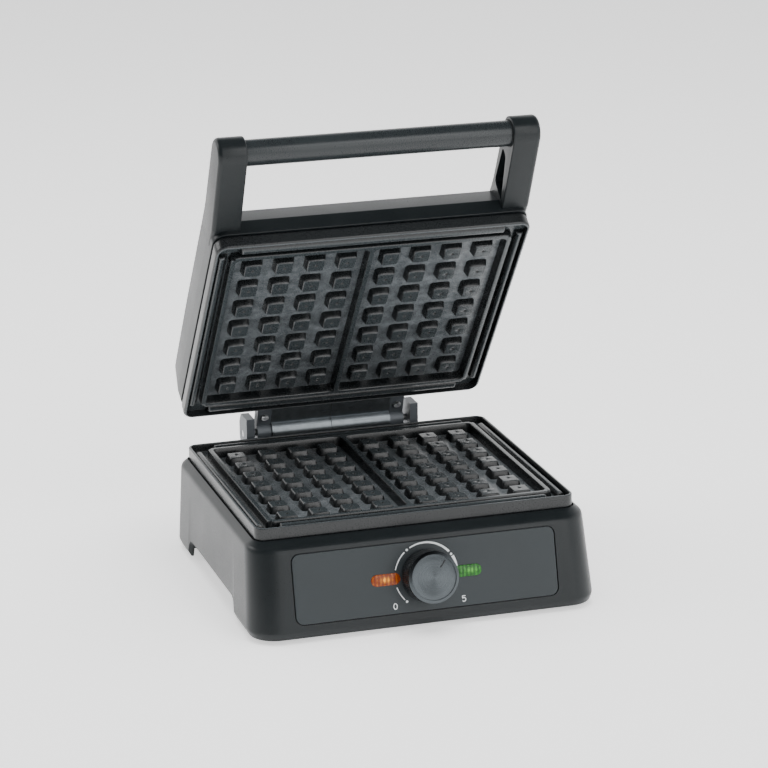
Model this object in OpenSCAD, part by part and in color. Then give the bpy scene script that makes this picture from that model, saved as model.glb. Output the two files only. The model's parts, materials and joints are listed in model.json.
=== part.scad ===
// Table waffle maker with two rectangular waffle wells, standing with its lid open.
// Right-handed frame in millimetres: +X to the right, +Y to the back, +Z up.
// The origin lies on the table under the middle of the object's outline.
// Pieces are drawn about the middle of the lower plate, and placed() moves them to that origin.
// Lid pieces are drawn in the shut pose and turned about the hinge axis by lid_angle.

/* [Overall] */
// Outer width of the lower frame and of the lid frame
rim_width = 250; // [230:1:300]
// Outer depth of the lower frame and of the lid frame
rim_depth = 219; // [184:1:263]
// Height of the base housing at its outer top edge
base_height = 68.7; // [60:0.1:84]
// Opening angle of the lid above the shut pose
lid_angle = 52; // [0:1:100]
// Height of the lid shell above its parting line
shell_height = 32.4; // [27:0.1:39]

/* [Base] */
// Overhang of the housing beyond the frame at each side
side_ledge = 9.5; // [8:0.1:12]
// Overhang of the housing's foot beyond the frame at the front
front_ledge = 28.8; // [25:0.1:34]
// Overhang of the housing's top edge beyond the frame at the front
front_top_ledge = 12.6; // [11:0.1:15]
// Overhang of the housing beyond the frame at the back
rear_ledge = 9.5; // [8:0.1:11]
// Radius of the housing's upright corners
base_corner_r = 22; // [17:0.5:26]
// Wall thickness of the housing
base_wall = 2.6; // [2:0.1:3.2]
// Rise of the sloping deck from the outer edge to the frame
deck_rise = 4.8; // [3.5:0.1:6]
// Height of the arched cut-out in each side skirt
skirt_arch = 13; // [9:0.5:14]
// Radius of the rubber feet
foot_r = 10.5; // [8:0.5:12]

/* [Front panel] */
// Distance up the slope from the housing's lower edge to the panel
panel_foot = 11.2; // [9:0.1:12]
// Width of the inlaid control panel
panel_width = 205; // [180:1:215]
// Height of the inlaid control panel along the slope
panel_height = 52.3; // [46:0.1:53]
// Corner radius of the control panel
panel_corner_r = 6; // [3:0.5:9]
// Gap around the control panel
panel_gap = 0.6; // [0.4:0.1:1]
// Radius of the thermostat knob
knob_r = 19.8; // [17:0.1:21]
// Distance from the panel to the knob's outer face
knob_reach = 20; // [17:0.5:24]
// Clockwise angle of the knob's pointer from the top
pointer_angle = 38; // [0:1:120]
// Length of each indicator window
window_length = 23; // [19:0.1:24]
// Height of each indicator window
window_height = 9; // [7:0.1:10]

/* [Plates] */
// Distance from the frame's outer edge to the well, at the sides
well_side_margin = 16.8; // [15:0.1:19]
// Distance from the frame's outer edge to the well, at the front and back
well_end_margin = 18; // [16:0.1:21]
// Depth of the waffle wells
well_depth = 11.4; // [9:0.1:13]
// Width of the pegs at their tops
peg_top = 13; // [11:0.1:14]
// Width of the pegs at their feet
peg_base = 19.2; // [17:0.1:20.5]
// Number of peg columns in each well
peg_columns = 4; // [3:1:5]
// Number of peg rows in each well
peg_rows = 7; // [5:1:8]

/* [Handle] */
// Radius of the handle bar
bar_r = 10; // [8:0.1:11]
// Width of each handle arm
arm_width = 22; // [19:0.5:25]
// Distance from the frame's front edge to the bar's axis
bar_reach = 60.1; // [52:0.1:72]

/* [Hinge] */
// Radius of the hinge knuckles
knuckle_r = 10.5; // [9:0.1:11]
// Radius of the hinge pin
pin_r = 3; // [2.5:0.1:4]
// Radial running clearance around the hinge pin and the knob's spindle
run_clear = 0.05; // [0.02:0.01:0.09]

/* [Hidden] */
$fn = 64;
eps = 0.5;
half_w = rim_width / 2;
half_d = rim_depth / 2;
foot_h = 3;
deck_top = base_height + deck_rise;
rim_h = 9.1;
rim_top = deck_top + rim_h;
lid_gap = 0.7;
lid_face = rim_top + lid_gap;
lid_frame_h = 10.8;
part_z = lid_face + lid_frame_h;
shell_gap = 0.5;
shell_z = part_z + shell_gap;
shell_top = shell_z + shell_height;
base_half_w = half_w + side_ledge;
front_y = -(half_d + front_ledge);
front_top_y = -(half_d + front_top_ledge);
rear_y = half_d + rear_ledge;
front_tilt = atan((front_top_y - front_y) / (base_height - foot_h));
hinge_y = half_d + 23.6;
hinge_z = rim_top - 2.8;
cover_z = foot_h + skirt_arch + 2;
cover_t = 2;
leg_size = 34;
mid_shift = 3.8;

// control panel in the plane of the sloping front, measured up the slope
panel_mid = panel_foot + panel_height / 2;
panel_t = 2;
panel_seat = 2.2;
front_wall = panel_seat + 2.2;
window_gap = 0.6;
window_x = knob_r + window_length / 2 + window_gap;
spindle_r = 3;

// plates
well_half_x = half_w - well_side_margin;
well_half_y = half_d - well_end_margin;
divider = 2;
well_w = well_half_x - divider;
peg_pitch_x = well_w / (peg_columns + 0.256);
peg_pitch_y = 2 * well_half_y / (peg_rows + 0.263);
peg_mid_x = divider + well_w / 2;
lip = 3.6;
plate_t = 2.6;
peg_drop = 1.6;
flange_w = 2.6;
flange_t = 1.4;
upstand_h = 5.1;
dimple_r = 1;
frame_r = 8;
frame_wall = 2.4;
tab_t = 2;
element_gap = 0.2;
element_h = 6;
element_w = 7;
element_inset = 24;
pan_inset = 9;
pan_screw_in = 58;
pan_t = 1;

// handle
arm_out = half_w + 1;
arm_in = arm_out - arm_width;
arm_r = bar_r + 3;
bar_y = -(half_d + bar_reach);
bar_z = shell_top - 3;
arm_root_y = -(half_d - 19.5);
arm_foot_z = shell_z + 3.3;
seam = 0.3;
bar_depth = 8;

// hinge
knuckle_end = 50;
bracket_end = 62;
ear_in = 66;
ear_out = 72.7;
bracket_low = base_height - 22.7;
bracket_high = base_height - 2.7;
bracket_t = 2.5;
ear_rise = 15.5;
ear_back = 10;

// ---------- helpers ----------

// Moves a finished piece from the plate's middle to the middle of the outline.
module placed() {
    translate([0, mid_shift, 0])
        children();
}

// Rectangle centred on the origin with rounded corners.
module rounded_rect(w, d, r) {
    square([w - 2 * r, d], center = true);
    square([w, d - 2 * r], center = true);
    for (sx = [-1, 1], sy = [-1, 1])
        translate([sx * (w / 2 - r), sy * (d / 2 - r)])
            circle(r = r);
}

// Rectangle from y = 0 to y = d whose two corners at y = 0 are rounded.
module near_rounded(w, d, r) {
    translate([-(w / 2 - r), 0])
        square([w - 2 * r, d]);
    translate([-w / 2, r])
        square([w, d - r]);
    for (sx = [-1, 1])
        translate([sx * (w / 2 - r), r])
            circle(r = r);
}

// Pill of a given length and height, centred on the origin.
module pill(l, h) {
    square([l - h, h], center = true);
    for (sx = [-1, 1])
        translate([sx * (l - h) / 2, 0])
            circle(d = h);
}

// Profile in Y and Z, swept along X and centred on x = 0.
module along_x(w) {
    translate([-w / 2, 0, 0])
        rotate([90, 0, 90])
            linear_extrude(height = w)
                children();
}

// Profile in X and Z, swept along Y and centred on y = 0.
module along_y(d) {
    translate([0, d / 2, 0])
        rotate([90, 0, 0])
            linear_extrude(height = d)
                children();
}

// Frame lying in the sloping front: X across, Y up the slope, Z outward.
module on_front() {
    translate([0, front_y, foot_h])
        rotate([90 - front_tilt, 0, 0])
            children();
}

// The same frame moved to the middle of the control panel.
module on_panel() {
    on_front()
        translate([0, panel_mid, 0])
            children();
}

// Turns pieces drawn for the shut lid to the opening angle.
module in_lid() {
    translate([0, hinge_y, hinge_z])
        rotate([-lid_angle, 0, 0])
            translate([0, -hinge_y, -hinge_z])
                children();
}

// Mirrors pieces of the lower plate set to the lid, across the parting plane.
module over_parting() {
    in_lid()
        translate([0, 0, rim_top + lid_face])
            mirror([0, 0, 1])
                children();
}

// Pan-head screw with its head below z = 0 and its shank above.
module screw(head_r, head_h, shank_r, shank_l) {
    difference() {
        union() {
            translate([0, 0, -head_h])
                cylinder(r = head_r, h = head_h, $fn = 32);
            translate([0, 0, -eps])
                cylinder(r = shank_r, h = shank_l + eps, $fn = 24);
        }
        for (a = [0, 90])
            rotate([0, 0, a])
                translate([-head_r * 0.6, -head_r * 0.12, -head_h - eps])
                    cube([head_r * 1.2, head_r * 0.24, eps + head_h * 0.5]);
    }
}

// ---------- base ----------

// Solid of the base housing, drawn in by a wall thickness.
module housing_form(inset, drop) {
    deep = 400;
    slope_f = deck_rise / (front_top_ledge - 1.5);
    slope_s = deck_rise / (side_ledge - 1);
    slope_r = deck_rise / (rear_ledge - 1.5);
    far = 60;
    intersection() {
        translate([0, front_y, foot_h])
            rotate([-front_tilt, 0, 0])
                translate([0, inset, -60])
                    linear_extrude(height = 220)
                        near_rounded(2 * (base_half_w - inset), deep, base_corner_r - inset);
        translate([0, rear_y - inset, -20])
            mirror([0, 1, 0])
                linear_extrude(height = 160)
                    near_rounded(2 * (base_half_w - inset), deep, base_corner_r - inset);
        along_x(deep)
            polygon([
                [front_top_y - far, foot_h - drop],
                [front_top_y - far, base_height - far * slope_f - inset],
                [-(half_d + 1.5), deck_top - inset],
                [half_d + 1.5, deck_top - inset],
                [rear_y + 15, base_height - 15 * slope_r - inset],
                [rear_y + 15, foot_h - drop]]);
        along_y(deep)
            polygon([
                [-(base_half_w + 20), foot_h - drop],
                [-(base_half_w + 20), base_height - 20 * slope_s - inset],
                [-(half_w + 1), deck_top - inset],
                [half_w + 1, deck_top - inset],
                [base_half_w + 20, base_height - 20 * slope_s - inset],
                [base_half_w + 20, foot_h - drop]]);
    }
}

// Places one child at each of the four bottom cover screws.
module at_cover_screws() {
    for (sx = [-1, 1], sy = [-1, 1])
        translate([sx * (half_w - 2.5), sy * (half_d - 32), 0])
            children();
}

// Places one child at each foot.
module at_feet() {
    for (sx = [-1, 1])
        translate([sx * (base_half_w - 19), front_y + 24, 0])
            children();
    for (sx = [-1, 1])
        translate([sx * (base_half_w - 19), rear_y - 19, 0])
            children();
}

// Places one child at each screw between the deck and the lower frame.
module at_frame_screws() {
    for (sx = [-1, 1], sy = [-1, 1])
        translate([sx * (half_w - 6.5), sy * half_d * 0.6, 0])
            children();
}

// Arched opening cut through both side skirts.
module skirt_cut() {
    cut_front = front_y + 62;
    cut_rear = rear_y - 52;
    cut_r = 10;
    along_x(2 * base_half_w + 20)
        union() {
            translate([cut_front, -1])
                square([cut_rear - cut_front, foot_h + skirt_arch + 1 - cut_r]);
            translate([cut_front + cut_r, -1])
                square([cut_rear - cut_front - 2 * cut_r, foot_h + skirt_arch + 1]);
            for (y = [cut_front + cut_r, cut_rear - cut_r])
                translate([y, foot_h + skirt_arch - cut_r])
                    circle(r = cut_r);
        }
}

// Thickened field of the front wall behind the control panel.
module panel_pad(grow) {
    field_w = panel_width + 8 + 2 * grow;
    field_h = panel_height + 8 + 2 * grow;
    on_panel()
        translate([-field_w / 2, -field_h / 2, -front_wall - grow])
            cube([field_w, field_h, front_wall + 2]);
}

module base_housing() {
    boss_r = 4.5;
    color("#3a4145")
    difference() {
        union() {
            difference() {
                housing_form(0, 0);
                housing_form(base_wall, 10);
            }
            intersection() {
                housing_form(0, 0);
                union() {
                    panel_pad(0);
                    for (sx = [-1, 1], y = [front_y, rear_y - leg_size])
                        translate([sx * (base_half_w - leg_size / 2) - leg_size / 2, y, foot_h])
                            cube([leg_size, leg_size, cover_z - foot_h]);
                    at_cover_screws()
                        translate([0, 0, cover_z + cover_t])
                            cylinder(r = boss_r, h = deck_top - cover_z - cover_t - 1, $fn = 32);
                }
            }
        }
        // opening in the deck for the plate and its heater
        translate([0, 0, deck_top - 20])
            linear_extrude(height = 30)
                rounded_rect(rim_width - 20, rim_depth - 19.6, 6);
        // seat of the control panel
        on_panel()
            translate([0, 0, -panel_seat])
                linear_extrude(height = panel_seat + 20)
                    rounded_rect(panel_width + 2 * panel_gap, panel_height + 2 * panel_gap,
                        panel_corner_r + panel_gap);
        // passages for the spindle's neck and the two indicator windows
        on_panel()
            translate([0, 0, -front_wall - 5])
                cylinder(r = 5.2, h = 20);
        on_panel()
            for (sx = [-1, 1])
                translate([sx * window_x, 0, -front_wall - 5])
                    linear_extrude(height = 20)
                        pill(window_length, window_height);
        skirt_cut();
        at_feet()
            cylinder(r = 3, h = foot_h + 5, $fn = 32);
        at_cover_screws()
            cylinder(r = 1.65, h = cover_z + cover_t + 10, $fn = 24);
        at_frame_screws()
            translate([0, 0, deck_top - 10])
                cylinder(r = 1.6, h = 20, $fn = 24);
        // cord inlet and bracket screws in the rear wall
        translate([gland_x, rear_y + 5, gland_z])
            rotate([90, 0, 0])
                cylinder(r = 5.6, h = 15);
        at_bracket_screws()
            cylinder(r = 1.7, h = 12, $fn = 24);
    }
}

module bottom_cover() {
    color("#2b2f31")
    difference() {
        intersection() {
            housing_form(base_wall + 0.3, 10);
            translate([-300, -300, cover_z])
                cube([600, 600, cover_t]);
        }
        panel_pad(0.3);
        at_cover_screws()
            cylinder(r = 1.9, h = 60, $fn = 24);
        // rows of vent slots under the heater
        for (sx = [-1, 1], i = [0:6])
            translate([sx * 42 - 20, -45 + i * 15, 0])
                cube([40, 4, 60]);
    }
}

module feet() {
    color("#1b1c1d")
    at_feet() {
        cylinder(r = foot_r, h = foot_h - 1);
        translate([0, 0, foot_h - 1 - 0.01])
            cylinder(r = foot_r - 1, h = 1.01);
        translate([0, 0, foot_h - 0.5])
            cylinder(r = 2.9, h = 5, $fn = 32);
    }
}

module cover_screws() {
    color("#8d9296")
    at_cover_screws()
        translate([0, 0, cover_z])
            screw(3.4, 1.8, 1.6, 11);
}

module front_panel() {
    color("#4a5357")
    on_panel()
        difference() {
            translate([0, 0, -panel_seat])
                linear_extrude(height = panel_t)
                    rounded_rect(panel_width, panel_height, panel_corner_r);
            translate([0, 0, -panel_seat - 1])
                cylinder(r = 4.4, h = 10);
            for (sx = [-1, 1])
                translate([sx * window_x, 0, -panel_seat - 1])
                    linear_extrude(height = 10)
                        pill(window_length, window_height);
        }
}

// Lens of one indicator window, with a flange behind the wall.
module window(sx) {
    on_panel()
        translate([sx * window_x, 0, 0]) {
            translate([0, 0, -front_wall])
                linear_extrude(height = front_wall + 0.5)
                    pill(window_length - 0.2, window_height - 0.2);
            translate([0, 0, -front_wall - 1.5])
                linear_extrude(height = 1.5)
                    pill(window_length + 3, window_height + 3);
        }
}

module amber_window() {
    color("#e08a1e", 0.8)
    window(-1);
}

module green_window() {
    color("#3fae3a", 0.8)
    window(1);
}

// Small glow lamp lying behind a window.
module lamp(sx) {
    on_panel()
        translate([sx * window_x - 6, 0, -front_wall - 6])
            rotate([0, 90, 0])
                cylinder(r = 2.6, h = 12, $fn = 32);
}

module amber_lamp() {
    color("#f2b35a")
    lamp(-1);
}

module green_lamp() {
    color("#9be08c")
    lamp(1);
}

module lamp_holders() {
    color("#d8d6cf")
    on_panel()
        for (sx = [-1, 1])
            translate([sx * window_x, 0, 0])
                difference() {
                    translate([-9, -6, -front_wall - 11])
                        cube([18, 12, 9.5]);
                    translate([-6.2, -2.8, -front_wall - 8.9])
                        cube([12.4, 5.6, 10]);
                }
}

module thermostat_body() {
    color("#c9c4b6")
    on_panel()
        difference() {
            union() {
                translate([-14, -9.5, -front_wall - 28])
                    cube([28, 21.5, 14]);
                translate([0, 0, -front_wall - 14 - eps])
                    cylinder(r = 4.6, h = 14 + eps - 0.2 + 2);
            }
            translate([0, 0, -front_wall - 24])
                cylinder(r = spindle_r + run_clear, h = 40);
            // slots for the two spade terminals
            for (sx = [-1, 1])
                translate([sx * 8 - 3, -9.5 - eps, -front_wall - 24])
                    cube([6, 5, 2]);
        }
}

module thermostat_bracket() {
    color("#a9adb0")
    on_panel()
        difference() {
            union() {
                translate([-20, -14, -front_wall - 5.5])
                    cube([40, 28, 1.5]);
                for (sx = [-1, 1])
                    translate([sx * 19.25 - 0.75, -14, -front_wall - 5.5])
                        cube([1.5, 28, 5.5]);
            }
            translate([0, 0, -front_wall - 8])
                cylinder(r = 4.7, h = 10);
            for (sx = [-1, 1])
                translate([sx * window_x - window_length / 2 - 2.5, -8, -front_wall - 20])
                    cube([window_length + 5, 16, 30]);
        }
}

module thermostat_nut() {
    color("#b3b7ba")
    on_panel()
        translate([0, 0, -front_wall - 4])
            difference() {
                cylinder(r = 8, h = 2.5, $fn = 6);
                translate([0, 0, -1])
                    cylinder(r = 4.7, h = 6);
            }
}

module knob_spindle() {
    color("#b9bcbe")
    on_panel()
        difference() {
            translate([0, 0, -front_wall - 22])
                cylinder(r = spindle_r, h = front_wall + 22 + knob_reach - 6);
            rotate([0, 0, -pointer_angle])
                translate([-5, 1.6, 4])
                    cube([10, 5, 30]);
        }
}

// Outline of the knob's finely ribbed grip.
module ribbed_circle(r, ribs, depth) {
    polygon([for (i = [0:2 * ribs - 1])
        let(a = i * 180 / ribs, q = (i % 2 == 0) ? r : r - depth)
        [q * cos(a), q * sin(a)]]);
}

module knob_body() {
    ribs = 72;
    bevel = 1.6;
    color("#2e3437")
    on_panel()
        rotate([0, 0, -pointer_angle])
            difference() {
                union() {
                    translate([0, 0, 1])
                        cylinder(r = knob_r - 0.2, h = 2.5);
                    translate([0, 0, 3])
                        linear_extrude(height = knob_reach - 3 - bevel)
                            ribbed_circle(knob_r, ribs, 0.55);
                    translate([0, 0, knob_reach - bevel - 0.01])
                        cylinder(r1 = knob_r - 0.6, r2 = knob_r - 2.1, h = bevel);
                }
                translate([0, 0, knob_reach - 1.5])
                    cylinder(r = knob_r - 2.8, h = 5);
                // hollow underside around the hub
                difference() {
                    translate([0, 0, 0])
                        cylinder(r = knob_r - 3.4, h = knob_reach - 4.5);
                    cylinder(r = 7, h = knob_reach);
                }
                // D-shaped socket for the spindle
                difference() {
                    translate([0, 0, -1])
                        cylinder(r = spindle_r + 0.02, h = knob_reach - 5);
                    translate([-5, 1.62, 4])
                        cube([10, 5, 30]);
                }
            }
}

module knob_cap() {
    color("#565e62")
    on_panel()
        rotate([0, 0, -pointer_angle])
            difference() {
                translate([0, 0, knob_reach - 1.5])
                    cylinder(r = knob_r - 2.9, h = 1.4);
                translate([-0.5, knob_r * 0.45, knob_reach - 0.6])
                    cube([1, knob_r * 0.36, 2]);
            }
}

// ---------- plates ----------

// Ring with an outer wall, a channel and an inner upstand, standing on z0.
module frame_ring(z0, height, floor_h) {
    difference() {
        translate([0, 0, z0])
            linear_extrude(height = height)
                rounded_rect(rim_width, rim_depth, frame_r);
        translate([0, 0, z0 - 1])
            linear_extrude(height = height + 5)
                rounded_rect(2 * (well_half_x + lip + 0.6), 2 * (well_half_y + lip + 0.6), 4);
        translate([0, 0, z0 + floor_h])
            linear_extrude(height = height)
                rounded_rect(rim_width - 2 * frame_wall, rim_depth - 2 * frame_wall,
                    frame_r - frame_wall);
    }
    // upstand that carries the plate's flange
    translate([0, 0, z0])
        linear_extrude(height = height - 4)
            difference() {
                rounded_rect(2 * (well_half_x + lip + 2.8), 2 * (well_half_y + lip + 2.8), 5);
                rounded_rect(2 * (well_half_x + lip + 0.6), 2 * (well_half_y + lip + 0.6), 4);
            }
}

module lower_frame() {
    color("#333a3e")
    difference() {
        frame_ring(deck_top, rim_h, 2.4);
        at_frame_screws()
            translate([0, 0, deck_top - 5])
                cylinder(r = 1.5, h = 7, $fn = 24);
    }
}

module lower_frame_screws() {
    color("#8d9296")
    at_frame_screws()
        translate([0, 0, deck_top - base_wall])
            screw(2.8, 1.6, 1.4, base_wall + 1.8);
}

// Tapered ridges under the pegs of one well, along one direction.
module ridge_profile(count, pitch, floor_z, top_z) {
    for (i = [0:count - 1]) {
        c = (i - (count - 1) / 2) * pitch;
        polygon([
            [c - peg_base / 2, floor_z - eps], [c - peg_base / 2, floor_z],
            [c - peg_top / 2, top_z], [c + peg_top / 2, top_z],
            [c + peg_base / 2, floor_z], [c + peg_base / 2, floor_z - eps]]);
    }
}

// Cast plate with two wells; its lips stand at rim_top.
module waffle_plate() {
    well_floor = rim_top - well_depth;
    body_z = well_floor - plate_t;
    peg_z = rim_top - peg_drop;
    difference() {
        union() {
            difference() {
                translate([0, 0, body_z])
                    linear_extrude(height = rim_top - body_z)
                        rounded_rect(2 * (well_half_x + lip), 2 * (well_half_y + lip), 5);
                for (sx = [-1, 1])
                    translate([sx * peg_mid_x, 0, well_floor])
                        linear_extrude(height = 30)
                            rounded_rect(well_w, 2 * well_half_y, 4);
            }
            translate([0, 0, rim_top - 4])
                linear_extrude(height = flange_t)
                    difference() {
                        rounded_rect(2 * (well_half_x + lip + flange_w),
                            2 * (well_half_y + lip + flange_w), 5);
                        rounded_rect(2 * (well_half_x + lip) - 1,
                            2 * (well_half_y + lip) - 1, 4.5);
                    }
            for (sx = [-1, 1])
                translate([sx * peg_mid_x, 0, 0])
                    intersection() {
                        along_x(well_w)
                            ridge_profile(peg_rows, peg_pitch_y, well_floor, peg_z);
                        along_y(2 * well_half_y)
                            ridge_profile(peg_columns, peg_pitch_x, well_floor, peg_z);
                    }
        }
        // dimple in the top of every peg
        for (sx = [-1, 1], i = [0:peg_columns - 1], j = [0:peg_rows - 1])
            translate([sx * peg_mid_x + (i - (peg_columns - 1) / 2) * peg_pitch_x,
                (j - (peg_rows - 1) / 2) * peg_pitch_y, peg_z - 1.2])
                cylinder(r = dimple_r, h = 5, $fn = 14);
        at_pan_screws()
            translate([0, 0, body_z - 1])
                cylinder(r = 1.5, h = plate_t, $fn = 24);
    }
}

module lower_plate() {
    color("#24282b")
    waffle_plate();
}

// Places one child at each screw that holds a heater pan.
module at_pan_screws() {
    for (sx = [-1, 1], sy = [-1, 1])
        translate([sx * (well_half_x - pan_screw_in), sy * (well_half_y - pan_screw_in + 8), 0])
            children();
}

// Flattened heating element: one loop with both cold ends at the back.
module heater_loop() {
    z = rim_top - well_depth - plate_t - element_gap - element_h;
    loop_x = well_half_x - element_inset;
    loop_y = well_half_y - element_inset;
    translate([0, 0, z])
        linear_extrude(height = element_h)
            difference() {
                union() {
                    difference() {
                        rounded_rect(2 * loop_x, 2 * loop_y, 24);
                        rounded_rect(2 * loop_x - 2 * element_w, 2 * loop_y - 2 * element_w, 17);
                    }
                    for (sx = [-1, 1])
                        translate([sx * 18 - element_w / 2, loop_y - element_w])
                            square([element_w, element_w + 12]);
                }
                translate([-14.5, loop_y - element_w - 2])
                    square([29, element_w + 20]);
            }
}

module lower_element() {
    color("#7d7873")
    heater_loop();
}

// Folded steel pan that reflects the heat back to the plate.
module heater_pan() {
    z = rim_top - well_depth - plate_t - element_gap - element_h - pan_t;
    pan_x = well_half_x - pan_inset;
    pan_y = well_half_y - pan_inset;
    difference() {
        translate([0, 0, z])
            linear_extrude(height = pan_t + element_h + element_gap)
                rounded_rect(2 * pan_x, 2 * pan_y, 8);
        translate([0, 0, z + pan_t])
            linear_extrude(height = 20)
                rounded_rect(2 * (pan_x - pan_t), 2 * (pan_y - pan_t), 7);
        at_pan_screws()
            translate([0, 0, z - 1])
                cylinder(r = 1.7, h = 4, $fn = 24);
    }
}

module lower_pan() {
    color("#aeb2b4")
    heater_pan();
}

// Screws that run from the pan up into the plate.
module pan_screws() {
    z = rim_top - well_depth - plate_t - element_gap - element_h - pan_t;
    at_pan_screws()
        translate([0, 0, z])
            screw(3.2, 1.8, 1.4, pan_t + element_h + element_gap + 1.4);
}

module lower_pan_screws() {
    color("#8d9296")
    pan_screws();
}

// ---------- rear of the base ----------

gland_x = -(base_half_w - 38);
gland_z = 32;
gland_bore = 3.7;
gland_length = 14;

module cord_gland() {
    color("#1f2122")
    translate([gland_x, rear_y + 2, gland_z])
        rotate([90, 0, 0])
            difference() {
                union() {
                    cylinder(r = 7.5, h = 2);
                    cylinder(r = 5.5, h = gland_length);
                    translate([0, 0, 2 + base_wall])
                        cylinder(r = 6.6, h = 2);
                }
                translate([0, 0, -1])
                    cylinder(r = gland_bore, h = gland_length + 2);
            }
}

module terminal_block() {
    block_y = rear_y - 50;
    color("#d9d6cc")
    difference() {
        translate([gland_x - 14, block_y, cover_z + cover_t])
            cube([28, 16, 12]);
        for (i = [-1, 0, 1])
            translate([gland_x + i * 8.5, block_y + 8, cover_z + cover_t + 5])
                cylinder(r = 2, h = 20, $fn = 24);
        for (i = [-1, 0, 1])
            translate([gland_x + i * 8.5, block_y - 1, cover_z + cover_t + 4])
                rotate([-90, 0, 0])
                    cylinder(r = 1.6, h = 30, $fn = 24);
    }
}

// Places one child at each bracket screw, pointing into the rear wall.
module at_bracket_screws() {
    for (sx = [-1, 1], x = [18, 54])
        translate([sx * x, rear_y + bracket_t, (bracket_low + bracket_high) / 2])
            rotate([90, 0, 0])
                children();
}

module hinge_bracket() {
    color("#4b5255")
    difference() {
        union() {
            translate([-ear_out, rear_y, bracket_low])
                cube([2 * ear_out, bracket_t, bracket_high - bracket_low]);
            for (sx = [-1, 1])
                translate([sx * (ear_in + ear_out) / 2, 0, 0])
                    along_x(ear_out - ear_in)
                        polygon([
                            [rear_y, bracket_low], [rear_y, hinge_z + ear_rise],
                            [hinge_y + 5, hinge_z + ear_rise],
                            [hinge_y + ear_back, hinge_z + ear_rise / 2],
                            [hinge_y + ear_back, hinge_z - 4],
                            [rear_y + bracket_t + 6, bracket_low]]);
        }
        translate([-ear_out - 5, hinge_y, hinge_z])
            rotate([0, 90, 0])
                cylinder(r = pin_r, h = 2 * ear_out + 10);
        at_bracket_screws()
            translate([0, 0, -eps])
                cylinder(r = 1.8, h = 12, $fn = 24);
    }
}

module bracket_screws() {
    color("#9a9fa2")
    at_bracket_screws()
        screw(3.2, 1.8, 1.6, bracket_t + base_wall + 3);
}

module hinge_pin() {
    color("#b5b9bb")
    translate([0.2 - ear_out, hinge_y, hinge_z])
        rotate([0, 90, 0])
            cylinder(r = pin_r, h = 2 * ear_out - 0.4);
}

// ---------- lid ----------

// Side profile of the lid shell, drawn in by a wall thickness.
module shell_profile(inset, low) {
    front = half_d + 1.4;
    polygon([
        [-(front - inset), low],
        [-(front - 0.8 - inset), shell_z + 12.3 * shell_height / 32.4],
        [-(front - 12.4 - inset * 1.1), shell_top - inset],
        [8, shell_top - 0.5 - inset],
        [half_d * 0.66, shell_top - 2.3 - inset],
        [half_d - 12.5 - inset, shell_top - 3.4 - inset],
        [half_d - 2.2 - inset, low]]);
}

// Solid of the lid shell, drawn in by a wall thickness.
module shell_form(inset, low) {
    intersection() {
        along_x(600)
            shell_profile(inset, low);
        translate([0, 0, shell_z - 20])
            linear_extrude(height = 100)
                rounded_rect(2 * (arm_out - inset), 2 * (half_d + 1.6 - inset), 10 - inset);
    }
}

// Places one child at each screw that holds a handle arm, pointing outward.
module at_handle_screws() {
    for (sx = [-1, 1], y = [arm_root_y - 3.5, arm_root_y - 10.5])
        translate([sx * (arm_in - seam - 2.2), y, shell_z + 17])
            rotate([0, sx * 90, 0])
                children();
}

module lid_shell() {
    notch_x = arm_in - seam;
    skin = 2.2;
    color("#3a4145")
    in_lid()
        difference() {
            union() {
                difference() {
                    shell_form(0, shell_z);
                    shell_form(2.4, shell_z - 5);
                }
                // walls of the notches that take the arms
                intersection() {
                    shell_form(0, shell_z);
                    for (sx = [-1, 1])
                        translate([sx * (notch_x + 50 - skin) - 50, -half_d - 50, arm_foot_z - seam])
                            cube([100, half_d + 50 + arm_root_y + seam + skin, 100]);
                }
                // tabs that take the screws of the frame
                for (sx = [-1, 1], sy = [-1, 1])
                    translate([sx * (half_w - 6.5 + 2) - 6, sy * half_d * 0.6 - 5, shell_z])
                        cube([12, 10, tab_t]);
            }
            for (sx = [-1, 1])
                translate([sx * (notch_x + 50) - 50, -half_d - 100, arm_foot_z - seam])
                    cube([100, half_d + 100 + arm_root_y + seam, 100]);
            at_handle_screws()
                translate([0, 0, -2])
                    cylinder(r = 1.7, h = 20, $fn = 24);
            for (sx = [-1, 1], sy = [-1, 1])
                translate([sx * (half_w - 6.5), sy * half_d * 0.6, shell_z - 5])
                    cylinder(r = 1.6, h = 10, $fn = 24);
        }
}

module upper_frame() {
    color("#333a3e")
    in_lid()
        translate([0, 0, lid_face + part_z])
            mirror([0, 0, 1])
                difference() {
                    union() {
                        translate([0, 0, lid_face])
                            linear_extrude(height = lid_frame_h)
                                difference() {
                                    rounded_rect(rim_width, rim_depth, frame_r);
                                    rounded_rect(rim_width - 6, rim_depth - 6, frame_r - 3);
                                }
                        translate([0, 0, part_z - 4])
                            linear_extrude(height = 2.8)
                                difference() {
                                    rounded_rect(rim_width - 5, rim_depth - 5, frame_r - 2.5);
                                    rounded_rect(2 * (well_half_x + lip + flange_w + 0.4),
                                        2 * (well_half_y + lip + flange_w + 0.4), 5);
                                }
                        // posts that meet the lid shell
                        for (sx = [-1, 1], sy = [-1, 1])
                            translate([sx * (half_w - 6.5), sy * half_d * 0.6, lid_face - shell_gap])
                                cylinder(r = 3.3, h = lid_frame_h - 2 + shell_gap, $fn = 32);
                    }
                    for (sx = [-1, 1], sy = [-1, 1])
                        translate([sx * (half_w - 6.5), sy * half_d * 0.6, lid_face - 5])
                            cylinder(r = 1.5, h = 10, $fn = 24);
                }
}

module upper_frame_screws() {
    color("#8d9296")
    in_lid()
        for (sx = [-1, 1], sy = [-1, 1])
            translate([sx * (half_w - 6.5), sy * half_d * 0.6, shell_z + tab_t])
                mirror([0, 0, 1])
                    screw(2.6, 1.6, 1.4, 6);
}

module upper_plate() {
    color("#24282b")
    over_parting()
        waffle_plate();
}

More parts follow.
